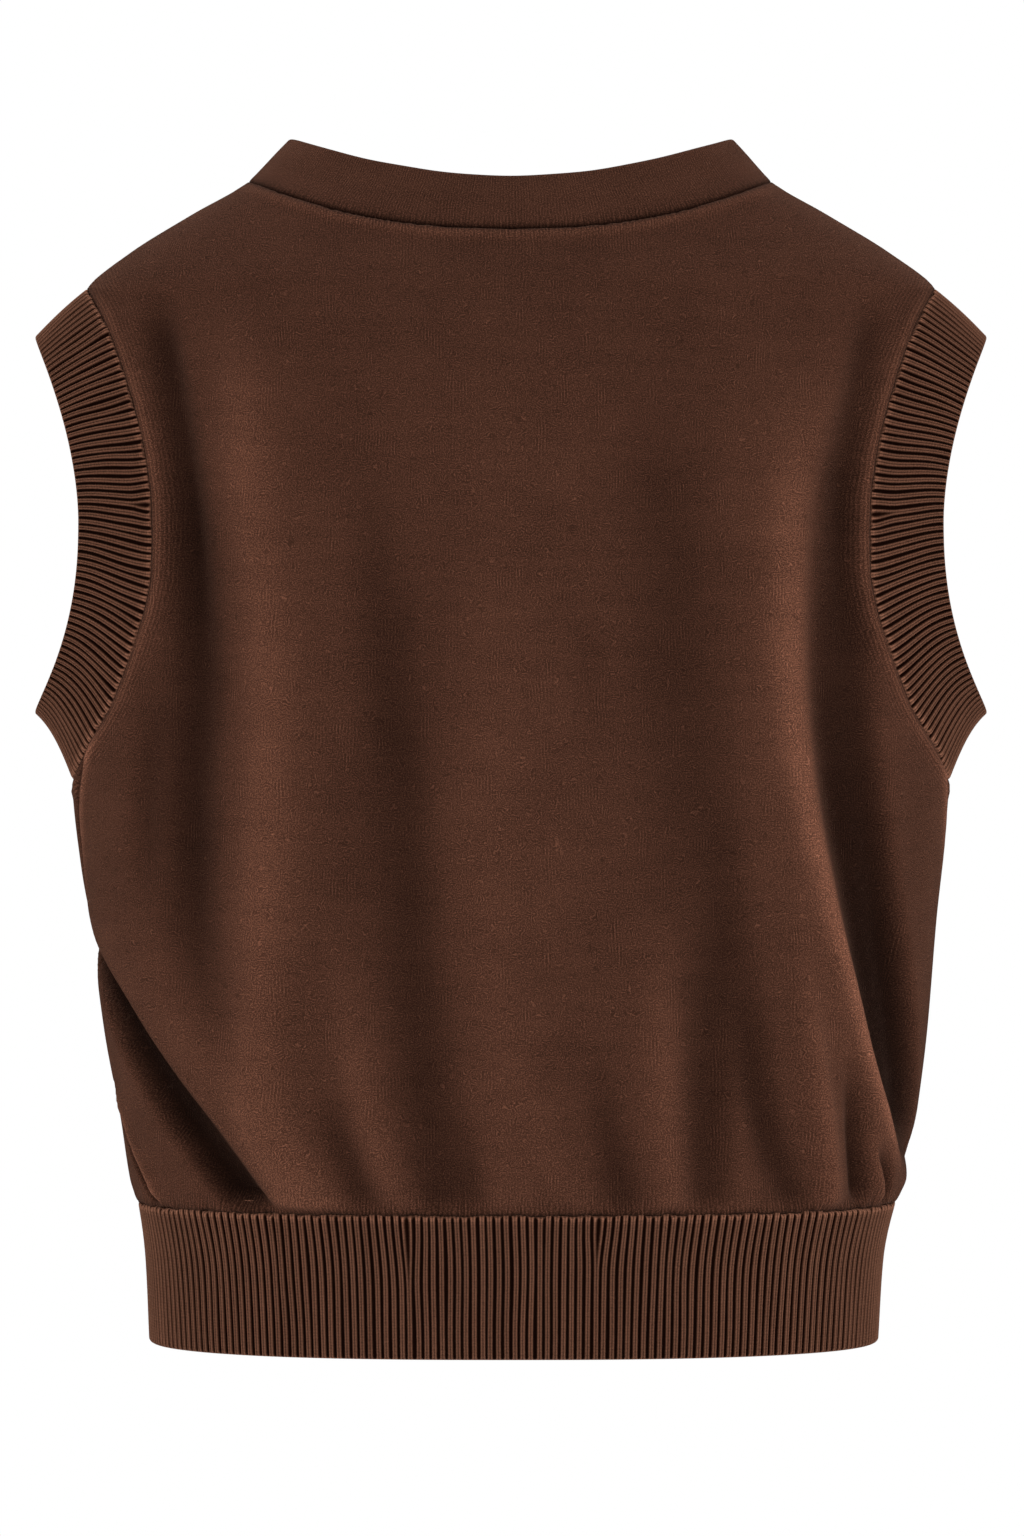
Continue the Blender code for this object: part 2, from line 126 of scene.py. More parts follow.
# Soft swells and hollows, each along a path of heights in millimetres and angles in degrees. Rise is negative
# for a hollow, spread is half its width, and fade is the share of its length over which its top and its foot
# die away.
SWELL_COLUMNS = ("path", "rise", "spread", "fade")
SWELLS = (
    # Back: the long hollow beside each armhole and the soft ridge inside it.
    (((512, 52.5), (470, 49.5), (430, 47), (390, 46), (350, 45.6), (310, 45.4)), -7.6, 10, (0.15, 0.5)),
    (((450, 46.2), (407, 45.2), (369, 44.6), (330, 44.6), (292, 45), (254, 45.6), (226, 45.6), (180, 44.2),
      (163, 42.6), (145, 40), (126, 37.4), (112, 36)), -7.8, 14.5, (0.35, 0.42)),
    (((350, 52), (292, 53.5), (254, 54.5), (230, 54.5), (200, 53)), -4, 10, (0.5, 0.35)),
    (((520, 37), (455, 35.8), (407, 34.4), (359, 32.6), (312, 31.8), (264, 32), (217, 33), (170, 34),
      (128, 35), (107, 34.6), (85, 31.5), (70, 29.5), (60, 28.5)), 7, 15, (0.2, 0)),
    (((500, -37), (455, -37), (407, -35.5), (359, -35), (300, -36), (240, -39), (190, -43)),
     1.4, 12, (0.4, 0.5)),
    (((512, -54), (455, -50), (407, -47.8), (360, -47.6), (312, -49)), -4.4, 10.5, (0.15, 0.5)),
    # Back: hollows and ridges that stand above the hem, from left to right.
    (((142, 25.6), (109, 24.6), (90, 23), (73, 21.4), (60, 20.4)), -4.6, 8, (0.6, 0)),
    (((205, 23), (170, 22), (140, 21), (114, 19.8), (93, 18), (76, 16), (60, 14.5)), 4.6, 8, (0.6, 0)),
    (((480, 20), (430, 19.4), (390, 17.8), (359, 16.5), (330, 15.7), (300, 14.8), (264, 13.5), (220, 13),
      (180, 13.2), (140, 12.6), (100, 11), (60, 9.6)), -4.5, 16, (0.45, 0)),
    (((440, 19), (390, 17.4), (330, 14.6), (264, 12.2)), -0.6, 13, (0.4, 0.4)),
    (((130, 6.6), (100, 6), (60, 5)), -2.8, 8, (0.7, 0)),
    (((370, -8), (320, -9.4), (270, -11.5)), -1.4, 10, (0.5, 0.5)),
    (((460, 1), (400, 1.5), (217, 2.7), (123, 1.5), (60, 1)), 2.8, 17, (0.5, 0)),
    (((300, -4), (240, -4.6), (160, -5.4)), 2.4, 12, (0.6, 0.6)),
    (((170, 1.5), (147, -0.5), (123, -3), (95, -5.6), (70, -9.2), (60, -10.8)), 2.8, 9, (0.7, 0)),
    (((165, -11), (120, -12.6), (93, -14.4), (71, -15.8), (60, -16.5)), -4.4, 9.5, (0.7, 0)),
    (((225, -17.8), (170, -19), (142, -19.7), (114, -20.6), (76, -22.5), (60, -23.6)), 4.9, 9, (0.6, 0)),
    (((520, -17.6), (439, -19.2), (391, -20), (340, -21.2), (311, -22.2), (264, -22.8), (216, -23),
      (178, -23)), -4.2, 23, (0.5, 0.5)),
    (((330, -24), (292, -25.8), (254, -27.2), (216, -27.8), (190, -27), (150, -26.2), (123, -26.2),
      (60, -27.8)), -4.9, 13, (0.6, 0)),
    (((170, -30), (123, -30.5), (60, -31)), 1.2, 7, (0.6, 0)),
    (((225, -29.5), (179, -31), (132, -33), (99, -36.3), (72, -40.4), (60, -42.5)), -5.6, 9, (0.6, 0)),
    (((220, -38), (188, -39.6), (146, -41.4), (117, -43.4), (93, -45.4), (60, -48)), 6.6, 7, (0.6, 0)),
    (((165, -46.6), (131, -49), (107, -51), (80, -54), (60, -57)), -8, 6, (0.6, 0)),
    # Front: like forms of other lengths and depths.
    (((505, 127), (455, 130), (400, 132), (330, 131), (250, 133), (180, 137)), -7, 13, (0.2, 0.5)),
    (((490, 140), (420, 144), (330, 146), (230, 145), (150, 147)), 3.0, 14, (0.3, 0.4)),
    (((505, -127), (455, -130), (400, -133), (320, -132), (270, -130)), -5.5, 13, (0.2, 0.5)),
    (((210, 161), (140, 160), (60, 157)), -3.2, 9, (0.6, 0)),
    (((190, 167), (120, 166), (60, 164)), 2.8, 8, (0.6, 0)),
    (((330, 173), (200, 174), (120, 176), (60, 178)), -3.8, 15, (0.8, 0)),
    (((230, -168), (150, -166), (60, -163)), 3.0, 8, (0.6, 0)),
    (((300, -157), (200, -156), (60, -153)), -3.2, 13, (0.7, 0)),
    (((180, -147), (110, -144), (60, -140)), 3.6, 7, (0.6, 0)),
    (((200, -141), (120, -137), (60, -133)), -3.6, 8, (0.6, 0)),
)

# Folds that lie over their own outer side: the cloth rises on the inner side of the path, highest at the
# rise's place, and drops on the outer one, deepest at the drop's place. Lean draws the crest out over the
# hollow; the next columns are the painted highlight along the crest and the painted shade in the drop. Pairs
# are for the path's top and foot. The outer side is towards greater angles for 1 and smaller ones for -1.
FOLD_COLUMNS = (
    "path", "outer", "rise", "rise_place", "rise_width", "drop", "drop_place", "drop_width", "edge", "lean",
    "painted_highlight", "shade", "fade",
)
UNDER_ARM = (1.6, 0, 6, (6.5, 5), 5, 6, (1.5, 2.4), 1.4, (1.3, 1), (0.8, 0.6), (0.02, 0.6))
FOLDS = (
    # Back: the long overlap at the lower left, with a short one beneath it beside the hem's end.
    (((245, 106), (205, 84.5), (185, 70.5), (169, 62), (150, 55.2), (131, 49.2), (107, 42), (80, 35.4),
      (60, 31.6)), 1, (1.5, 3.4), 19, 14, 11.5, 14, 12, (3.6, 9.5), 1.2, (0.1, 0), (0.55, 0.5), (0.45, 0)),
    (((128, 80), (113, 73.5), (100, 69), (86, 64), (77, 61.2), (60, 58.5)),
     1, 2.4, 0, 6, 8, 3.5, 5, 0.9, 1.4, 1.4, 0.5, (0.2, 0)),
    # Back: the long ridge down the right side, sharper as it nears the hem, and the nip at its foot.
    (((508, -52), (455, -44.6), (438, -42.6), (407, -40.2), (378, -39.5), (342, -39.4), (312, -39.9),
      (270, -41.2), (216, -45), (178, -48.6), (145, -52.4), (113, -58.4), (93, -65.3), (76, -74.5)),
     -1, (5.2, 5.6), 0, 20, (0.6, 13.6), 25, 19, (8.5, 1.8), 1.8, (0.1, 1.1), (0, 0.45), (0.25, 0.1)),
    (((104, -55.5), (92, -57.5), (82, -60), (70, -63), (60, -65)),
     -1, 3.2, 0, 6, 5, 2.5, 6, 1.4, 0.8, 0.5, 0.3, (0.5, 0)),
    # Under each armhole, on both sides of the side seam.
    (((303, 68.5), (293, 70.4), (283, 72.8), (270, 75.8), (258, 78), (244, 79.6), (205, 85)), 1, *UNDER_ARM),
    (((303, -73), (293, -74.8), (281, -77.5), (269, -79.4), (254, -80.5), (205, -86)), -1, *UNDER_ARM),
    (((284, 113), (264, 110), (244, 105), (226, 101)),
     -1, 1.2, 0, 9, 3.6, 3, 7, (1.6, 3), 0.8, 0.3, 0.4, (0.2, 0.7)),
    (((290, -111), (266, -107), (230, -102), (176, -99)),
     1, 1.2, 0, 9, 4.2, 3, 7, (1.6, 3), 0.8, 0.3, 0.4, (0.2, 0.7)),
    # Front: like folds of other lengths and depths.
    (((188, 112), (165, 117), (135, 126), (105, 135), (80, 141), (60, 145)),
     -1, (2, 5), 15, 16, (6, 7.5), 10, 10, (3, 7), 1.4, 0.1, (0.35, 0.3), (0.5, 0)),
    (((92, 112), (76, 119), (60, 125)), -1, 1.8, 0, 8, 3.4, 3, 7, 1.8, 0.9, 0.4, 0.3, (0.6, 0)),
    (((430, -141), (340, -143), (250, -142), (190, -139), (140, -134), (100, -128), (66, -122)),
     1, 4, 0, 20, (5, 9), 18, 16, (9, 3), 1.4, (0, 0.9), (0.1, 0.4), (0.5, 0.1)),
    (((104, -146), (60, -141)), 1, 2, 0, 7, 3.6, 3, 7, 1.8, 0.7, 0.3, 0.3, (0.5, 0)),
)
# How far inside the path a fold leans most, and how wide that is, in millimetres.
LEAN_PLACE = 2
LEAN_WIDTH = 6

# The body's half width, half depth and mean radius, by which angles are turned into lengths.
CHEST_HALF = 217 * MM
CHEST_DEPTH = 112 * MM
MEAN_RADIUS = 165 * MM

# Each uneven wave is drawn with a seed of its own.
SEEDS = {
    "slack round": 3,
    "slack up": 4,
    "gathers": 5,
    "neckband": 8,
    "hem seam": 11,
    "armbands": 20,
    "hem": 40,
}

# Folds die away over these lengths where a seam holds the cloth.
CALM_HEM = 9 * MM
CALM_RING = 14 * MM
CALM_ARMPIT = 6 * MM
ARMPIT_REACH = 25 * MM

# The cloth's slack and the small gathers above the hem, with the lengths of their waves.
SLACK_RISE = 0.5 * MM
SLACK_ROUND = (0.083, 0.127, 0.061)
SLACK_UP = (0.19, 0.31)
GATHER_RISE = 0.55 * MM
GATHER_REACH = 11 * MM
GATHERS = (0.017, 0.0113, 0.026)
HEM_WANDER = 0.45 * MM

# Beside a band the cloth stands up in a lip before it turns down into the seam, but not at the shoulder.
LIP_PLACE = 4.2 * MM
LIP_WIDTH = 2.4 * MM
LIP_RISE = 0.8 * MM
FLAT_AT_TIP = 9 * MM
FLAT_AT_NECK = 7 * MM
PLAIN_ROLL = 1.1 * MM

# This close to a shoulder tip, the panel's wall is thinner by this share.
TIP_REACH = 6 * MM
TIP_THINNING = 0.9

# Painted highlight on crests and painted shade in hollows: the height that makes them 2.7 times as light or
# dark.
# Painted highlight on the lip, painted shade in the seams and high on the shoulders: how much, and how far
# from them.
CREST_PAINTED_HIGHLIGHT = 15 * MM
HOLLOW_PAINTED_SHADE = 8 * MM
PAINTED_SHADING_LIMITS = (0.2, 1.6)
LIP_PAINTED_HIGHLIGHT = 0.4
SEAM_PAINTED_SHADE = (0.6, 1.4 * MM)
HEM_PAINTED_SHADE = (0.3, 3.2 * MM)
SHOULDER_PAINTED_SHADE = 0.12
SHOULDER_HEIGHTS = (440 * MM, 530 * MM)

# How much seams pucker the cloth beside them, and how far from them that and its straight columns reach.
PUCKERS = {"hem": 0.7, "neck": 0.45, "armhole": 0.15}
PUCKER_REACH = 5 * MM
STRAIGHT_REACH = 16 * MM

# One rib from groove to groove: how far across it, and how high there, alone and where it parts in two.
RIB_COLUMNS = ("across", "level", "parted")
RIB = (
    (0.00, 0.00, 0.00),
    (0.12, 0.20, 0.55),
    (0.21, 0.76, 1.00),
    (0.35, 1.00, 0.75),
    (0.50, 0.86, 0.00),
    (0.65, 1.00, 0.75),
    (0.79, 0.76, 1.00),
    (0.88, 0.20, 0.55),
)
# Where a band turns in under the panel's edge: distance from the seam and depth, in millimetres, and how much
# it is ribbed.
TUCK = ((-3, 4, 0), (-1, 4, 0), (0.05, 3.4, 0), (0.12, 1.7, 0.05), (0.35, 0.85, 0.25), (0.8, 0.3, 0.6),
        (1.5, 0.05, 0.9), (2.6, 0, 1))
# Round a band's folded edge, in degrees, and how much it is ribbed there.
FOLD_RIBS = ((0, 1), (15, 0.95), (30, 0.7), (42, 0.35), (54, 0.12), (70, 0), (90, 0), (112, 0), (135, 0),
             (158, 0), (180, 0))
# Places where two ribs run into one: share of the way round and how far down from the seam, in millimetres.
HEM_FORKS = ((0.0495, 32), (0.9585, 23), (0.39, 26), (0.571, 20))
ARMBAND_FORKS = ((0.735, 10), (0.262, 12))
# The ribs beside a fork give way by up to this share of a rib, over about this many ribs.
FORK_SHIFT = 0.45
FORK_REACH = 2.6
# How unevenly ribs run, as shares of one: together, each by itself, bent, and in depth.
RIB_SWAY = 0.06
RIB_SCATTER = 0.05
RIB_BEND = 0.03
RIB_WEAR = 0.10
# A rib's head below the seam, where a painted highlight lies: how far it wanders, and the highlight's place
# and width.
HEAD_WANDER = 0.9 * MM
HEAD_HIGHLIGHT_PLACE = 1.3 * MM
HEAD_HIGHLIGHT_WIDTH = 1.1 * MM

NECKBAND_HEIGHT = 30 * MM
NECKBAND_PUFF = 0.7 * MM
NECKBAND_RIPPLE = 0.25 * MM

# How finely forms are sampled.
PANEL_COLUMNS = 262
PANEL_ROWS = 178
PANEL_UNITS = {"side": 11, "armhole": 14, "shoulder": 3}
# How far waves move rows and columns together, as shares of the panel.
ROW_CROWDING = (0.055, 0.012)
COLUMN_CROWDING = (0.045, 0.05)
# Inside a panel its edge's shape is evened out over this many rows, and it is followed only near the edge.
EVENED_ROWS = 12
EDGE_HOLD = 6
NECKBAND_COLUMNS = 640
SPOTS = np.linspace(0, 1, 1441)
HEM_LEVELS = np.linspace(-6, 74, 17) * MM
# Steps over which a form's slope is taken: round the body or band, and along it.
BODY_STEPS = (0.002, 0.4 * MM)
NECKBAND_STEPS = (0.002, 0.3 * MM)
RIB_STEPS = (0.0008, 0.3 * MM)
EDGE_STEP = 0.002

# A point inside the vest, for telling which way faces look.
INSIDE = (0, 0, -0.25)

# The cut of each panel: flat width and length, and the area that is left, in metres.
PANEL_CUTS = (("back", (0.575, 0.53), 0.235), ("front", (0.585, 0.53), 0.222))

# The knit's own sizes: how far curls bend, how far apart ruckles, rows beside an armhole, a rib's stitches
# and its ridges are, and how deep the relief of each cloth is.
CURL_BEND = 0.0078
RUCK_LENGTH = 0.0024
ROW_LENGTH = 0.0019
STITCH_LENGTH = 0.0014
RIB_PITCH = 0.0038
KNIT_RELIEF = 0.00025
RIB_RELIEF = 0.0003

SENSOR_HEIGHT = 24
CAMERA_SHIFT = -0.0005
FLOOR_RADIUS = 3.6


class VestSettings(PropertyGroup):
    """Sizes of the cloth, the ribs and the seams."""

    jersey: FloatProperty(name="Jersey", description="Thickness of the panels", default=0.002, unit="LENGTH")
    neckband: FloatProperty(
        name="Neckband", description="Thickness of the doubled band", default=0.0034, unit="LENGTH"
    )
    rib_band: FloatProperty(
        name="Rib band", description="Thickness of the rib bands", default=0.0036, unit="LENGTH"
    )
    groove: FloatProperty(name="Groove", description="Depth between two ribs", default=0.0019, unit="LENGTH")
    seam_roll: FloatProperty(
        name="Seam roll", description="How far the cloth turns in at a band", default=0.0015, unit="LENGTH"
    )
    hem_ribs: IntProperty(name="Hem ribs", description="Ribs round the hem band", default=252)
    armband_ribs: IntProperty(name="Armband ribs", description="Ribs round each armband", default=152)


class VestFinish(PropertyGroup):
    """Colours and surface of the knit."""

    cloth: FloatVectorProperty(
        name="Cloth", description="Colour of the brushed knit", subtype="COLOR", default=(0.1, 0.0405, 0.0245)
    )
    rib: FloatVectorProperty(
        name="Rib", description="Colour of the rib knit", subtype="COLOR", default=(0.205, 0.090, 0.055)
    )
    # Painted shade: a near-black colour for the grooves between the ribs.
    groove: FloatVectorProperty(
        name="Groove", description="Colour between the ribs", subtype="COLOR", default=(0.010, 0.0025, 0.001)
    )
    wale: FloatProperty(
        name="Wale", description="Width of one column of stitches", default=0.0015, unit="LENGTH"
    )
    curl: FloatProperty(
        name="Curl", description="Width of the nap's curled lines", default=0.0012, unit="LENGTH"
    )
    sheen: FloatProperty(
        name="Sheen", description="Strength of the nap's soft edge light", default=0.12, subtype="FACTOR"
    )


class StudioSettings(PropertyGroup):
    """Camera and light."""

    distance: FloatProperty(
        name="Distance", description="From the camera to the middle of the vest", default=2.95, unit="LENGTH"
    )
    camera_height: FloatProperty(
        name="Camera height", description="Above the bottom edge", default=0.27935, unit="LENGTH"
    )
    view_height: FloatProperty(
        name="View height", description="Height of the frame at the vest", default=0.75264, unit="LENGTH"
    )
    floor: FloatProperty(name="Floor", description="Height of the floor", default=-1.42, unit="LENGTH")
    key: FloatProperty(name="Key lights", description="Power of both main lights", default=43, unit="POWER")
    fill: FloatProperty(name="Fill lights", description="Power that others share", default=6.5, unit="POWER")
    ambient: FloatProperty(
        name="Ambient", description="Strength of the light from all round", default=0.10, subtype="FACTOR"
    )


def column(table, names, name):
    return np.array([row[names.index(name)] for row in table], float)


def smooth_through(at, knots, values):
    """A cubic through the table's points that never overshoots them."""
    step = np.diff(knots)
    slope = np.diff(values) / step
    product = slope[:-1] * slope[1:]
    inner = np.where(product > 0, 2 * product / np.where(product > 0, slope[:-1] + slope[1:], 1), 0)
    tangent = np.concatenate([slope[:1], inner, slope[-1:]])
    cell = np.clip(np.searchsorted(knots, at) - 1, 0, len(step) - 1)
    t = (at - knots[cell]) / step[cell]
    return (
        values[cell] * (1 + 2 * t) * (1 - t) ** 2
        + step[cell] * tangent[cell] * t * (1 - t) ** 2
        + values[cell + 1] * t**2 * (3 - 2 * t)
        + step[cell] * tangent[cell + 1] * t**2 * (t - 1)
    )


def ease(value):
    value = np.clip(value, 0, 1)
    return value * value * (3 - 2 * value)


def hill(away, width):
    """A soft rise: 1 at its middle, 0.37 at its width and nearly 0 at twice that."""
    return np.exp(-((away / width) ** 2))


def unit(vectors):
    return vectors / np.linalg.norm(vectors, axis=-1, keepdims=True)


def ring_at(turn):
    """The place on a ring, from half a turn back to half a turn on, for shares from 0 to 1."""
    return (2 * turn - 1) * math.pi


def walked(line):
    """How far along a line of points each of them is."""
    return np.concatenate([[0], np.cumsum(np.linalg.norm(np.diff(line, axis=0), axis=1))])


def waver(position, lengths, seed):
    """A smooth uneven wave between about -1 and 1, from a few sines of these lengths."""
    draw = np.random.default_rng(seed)
    total = 0
    for length in lengths:
        total = total + np.sin(TURN * (position / length + draw.random()))
    return total / math.sqrt(len(lengths))


def read_table(table, names, name, height):
    """A column of a table that is listed by height, in millimetres, read at any height in metres."""
    return smooth_through(height / MM, column(table, names, "height"), column(table, names, name))


def section(name, height):
    return read_table(SECTIONS, SECTION_COLUMNS, name, height) * MM


def squareness(height):
    return read_table(SECTIONS, SECTION_COLUMNS, "square", height)


def side_reach(angle, height):
    return np.where(np.sin(angle) >= 0, section("left", height), section("right", height))


def torso(angle, height):
    """The plain torso form. Angle 0 is the middle of the back and a quarter turn is the left side."""
    across = np.sin(angle)
    along = np.cos(angle)
    power = squareness(height)
    reach = (np.abs(across) ** power + np.abs(along) ** power) ** (-1 / power)
    depth = np.where(along >= 0, section("back", height), section("front", height))
    return np.stack([side_reach(angle, height) * reach * across, depth * reach * along, height], axis=-1)


def angle_at(share, height, at_back, on_left):
    """The angle of the point of a level section that lies at this share of the way out to its side."""
    power = squareness(height)
    share = np.clip(share, 0, 1)
    along = (1 - share**power) ** (1 / power)
    angle = np.arctan2(share, np.where(at_back, along, -along))
    return np.where(on_left, angle, -angle)


def outward(form, first, second, steps):
    """The normal of a form of two coordinates, and its direction along the first."""
    round_it = form(first + steps[0], second) - form(first - steps[0], second)
    along_it = form(first, second + steps[1]) - form(first, second - steps[1])
    return unit(np.cross(along_it, round_it)), unit(round_it)


def armhole_seam(ring, side):
    """Angle and height of the armhole seam, with ring 0 at the shoulder tip and a half turn at the armpit."""
    at_back = np.sin(ring) >= 0
    height = (SHOULDER_TIP + ARMPIT) / 2 + (SHOULDER_TIP - ARMPIT) / 2 * np.cos(ring)
    back = read_table(ARMHOLE, ARMHOLE_COLUMNS, "back", height)
    front = read_table(ARMHOLE, ARMHOLE_COLUMNS, "front", height)
    share = np.where(at_back, back, front) * MM / section("left" if side > 0 else "right", height)
    tip = np.abs(np.sin(ring)) < 1e-6
    return angle_at(np.where(tip, 1, share), height, at_back, side > 0), height


def neck_line(turn, back_height, side_height, front_height, back_power, front_power):
    """Angle and height of a line round the neck. Turn runs like the body's angle."""
    share = np.abs(np.sin(turn))
    at_back = np.cos(turn) >= 0
    middle = np.where(at_back, back_height, front_height)
    height = middle + (side_height - middle) * share ** np.where(at_back, back_power, front_power)
    share = share * side_reach(turn, np.full_like(height, side_height)) / side_reach(turn, height)
    return angle_at(share, height, at_back, np.sin(turn) >= 0), height


def neck_seam(turn):
    return neck_line(turn, BACK_NECK_SEAM, NECK_POINT, V_SEAM, 2.4, 1.12)


def neck_edge(turn):
    return neck_line(turn, BACK_NECK_EDGE, BAND_PEAK, V_EDGE, 2.0, 1.12)


def beside_path(path, angle, height):
    """How far points lie from a path, in millimetres towards greater angles, and how far up it they are."""
    path = np.array(sorted(path), float)
    level = height / MM
    up = (level - path[0, 0]) / (path[-1, 0] - path[0, 0])
    spine = np.radians(smooth_through(np.clip(level, path[0, 0], path[-1, 0]), path[:, 0], path[:, 1]))
    pace = np.hypot(CHEST_HALF * np.cos(spine), CHEST_DEPTH * np.sin(spine)) / MM
    slope = np.gradient(np.radians(path[:, 1]), path[:, 0])
    slant = np.hypot(1, pace * np.interp(level, path[:, 0], slope))
    turn = (angle - spine + math.pi) % TURN - math.pi
    return turn * pace / slant, up


def faded(up, fade):
    """From 0 at a path's ends to 1 along it, with the share of its length that each end takes."""
    return ease((1 - up) / max(fade[0], 0.001)) * ease(up / max(fade[1], 0.001))


def tapered(pair, up):
    """A size that runs from its value at a path's foot to the one at its top. One number serves for both."""
    top, foot = np.broadcast_to(pair, 2)
    return foot + (top - foot) * ease(up)


def fold_form(angle, height):
    """How far folds lift the cloth, how far they draw it sideways, and their painted highlights and painted
    shade.
    """
    lift = np.zeros(np.shape(height))
    draw = np.zeros(np.shape(height))
    tone = np.ones(np.shape(height))
    for row in SWELLS:
        swell = dict(zip(SWELL_COLUMNS, row))
        away, up = beside_path(swell["path"], angle, height)
        lift += MM * swell["rise"] * faded(up, swell["fade"]) * hill(away, swell["spread"])
    for row in FOLDS:
        fold = dict(zip(FOLD_COLUMNS, row))
        away, up = beside_path(fold["path"], angle, height)
        away = away * fold["outer"]
        ends = MM * faded(up, fold["fade"])
        names = ("rise", "drop", "edge", "painted_highlight", "shade")
        rise, drop, edge, painted_highlight, painted_shade = (tapered(fold[name], up) for name in names)
        dropped = (1 + np.tanh(away / edge)) / 2
        risen = rise * hill(away + fold["rise_place"], fold["rise_width"])
        fallen = dropped * np.exp(-(((away - fold["drop_place"]) / fold["drop_width"]) ** 4))
        lift += ends * ((1 - dropped) * risen - drop * fallen)
        draw += ends * fold["outer"] * fold["lean"] * hill(away + LEAN_PLACE, LEAN_WIDTH)
        # Painted highlight along each fold's brink and painted shade in its drop.
        highlight_brink = hill(away + 1.2 * edge, 1.3 * edge + 0.7)
        tone *= 1 + ends / MM * (painted_highlight * highlight_brink - painted_shade * fallen)
    return lift, draw, tone


def set_in_rings():
    """Points of the armhole and neck seams on the plain torso form, for measuring from."""
    ring = ring_at(SPOTS[::2])
    return [torso(*armhole_seam(ring, 1)), torso(*armhole_seam(ring, -1)), torso(*neck_seam(ring))]


def nearest(points, lines):
    """For each point, how far the nearest of these lines is, how far along it, and which one it is."""
    tree = KDTree(sum(len(line) for line in lines))
    along = []
    which = []
    for number, line in enumerate(lines):
        for point in line:
            tree.insert(point, len(which))
            which.append(number)
        along += list(walked(line))
    tree.balance()
    found = [tree.find(point)[1:] for point in points.reshape(-1, 3)]
    index = np.array([item[0] for item in found])
    far = np.array([item[1] for item in found])
    shape = points.shape[:-1]
    return far.reshape(shape), np.array(along)[index].reshape(shape), np.array(which)[index].reshape(shape)


def evened(table, reach):
    """Each column of a table, evened out over this many rows to both sides."""
    weights = np.hanning(2 * reach + 3)[1:-1]
    padded = np.pad(table, ((reach, reach), (0, 0)), "edge")
    return sum(weight * padded[row : row + len(table)] for row, weight in enumerate(weights)) / weights.sum()


def panel_places(across, share, is_back):
    """Angle and height of a panel's points, with across from -1 to 1 and share from the hem to the neck."""
    side, armhole, shoulder = (PANEL_UNITS[name] for name in ("side", "armhole", "shoulder"))
    up = share * (side + armhole + shoulder)
    ring = math.pi * (1 - np.clip((up - side) / armhole, 0, 1))
    edge_angle, edge_height = armhole_seam(ring if is_back else -ring, 1)
    edge_angle = edge_angle if is_back else math.pi - edge_angle
    on_side = up <= side
    on_shoulder = up > side + armhole
    side_height = HEM_SEAM + (ARMPIT - HEM_SEAM) * np.clip(up / side, 0, 1)
    shoulder_share = np.clip((up - side - armhole) / shoulder, 0, 1)
    shoulder_height = SHOULDER_TIP + (NECK_POINT - SHOULDER_TIP) * shoulder_share
    edge_height = np.where(on_side, side_height, edge_height)
    edge_height = np.where(on_shoulder, shoulder_height, edge_height)
    edge_angle = np.where(on_side | on_shoulder, QUARTER, edge_angle)

    top_angle, top_height = neck_seam(across * QUARTER if is_back else math.pi - across * QUARTER)
    top_angle = top_angle if is_back else np.where(across >= 0, math.pi - top_angle, -math.pi - top_angle)
    middle_height = HEM_SEAM + (NECK_POINT - HEM_SEAM) * share
    height = middle_height + (edge_height - middle_height) * np.abs(across) ** 2
    rise = ((height - HEM_SEAM) / (NECK_POINT - HEM_SEAM)) ** 2
    steady = evened(edge_angle, EVENED_ROWS)
    edge_angle = steady + (edge_angle - steady) * np.abs(across) ** EDGE_HOLD
    angle = across * edge_angle + rise * (top_angle - across * QUARTER)
    height = height - rise * (NECK_POINT - top_height)
    return (angle if is_back else math.pi - angle), height


def rolled_in(distance, radius):
    """How far cloth drops where it turns down into a seam with this radius."""
    inside = np.clip(radius - distance, 0, radius)
    return radius - np.sqrt(radius**2 - inside**2)


def seam_waver(angle):
    """How far the hem seam wanders up or down on its way round."""
    return HEM_WANDER * waver(angle, (TURN / 31, TURN / 67, TURN / 118), SEEDS["hem seam"])


def add_object(name, data):
    obj = bpy.data.objects.new(name, data)
    bpy.context.scene.collection.objects.link(obj)
    return obj


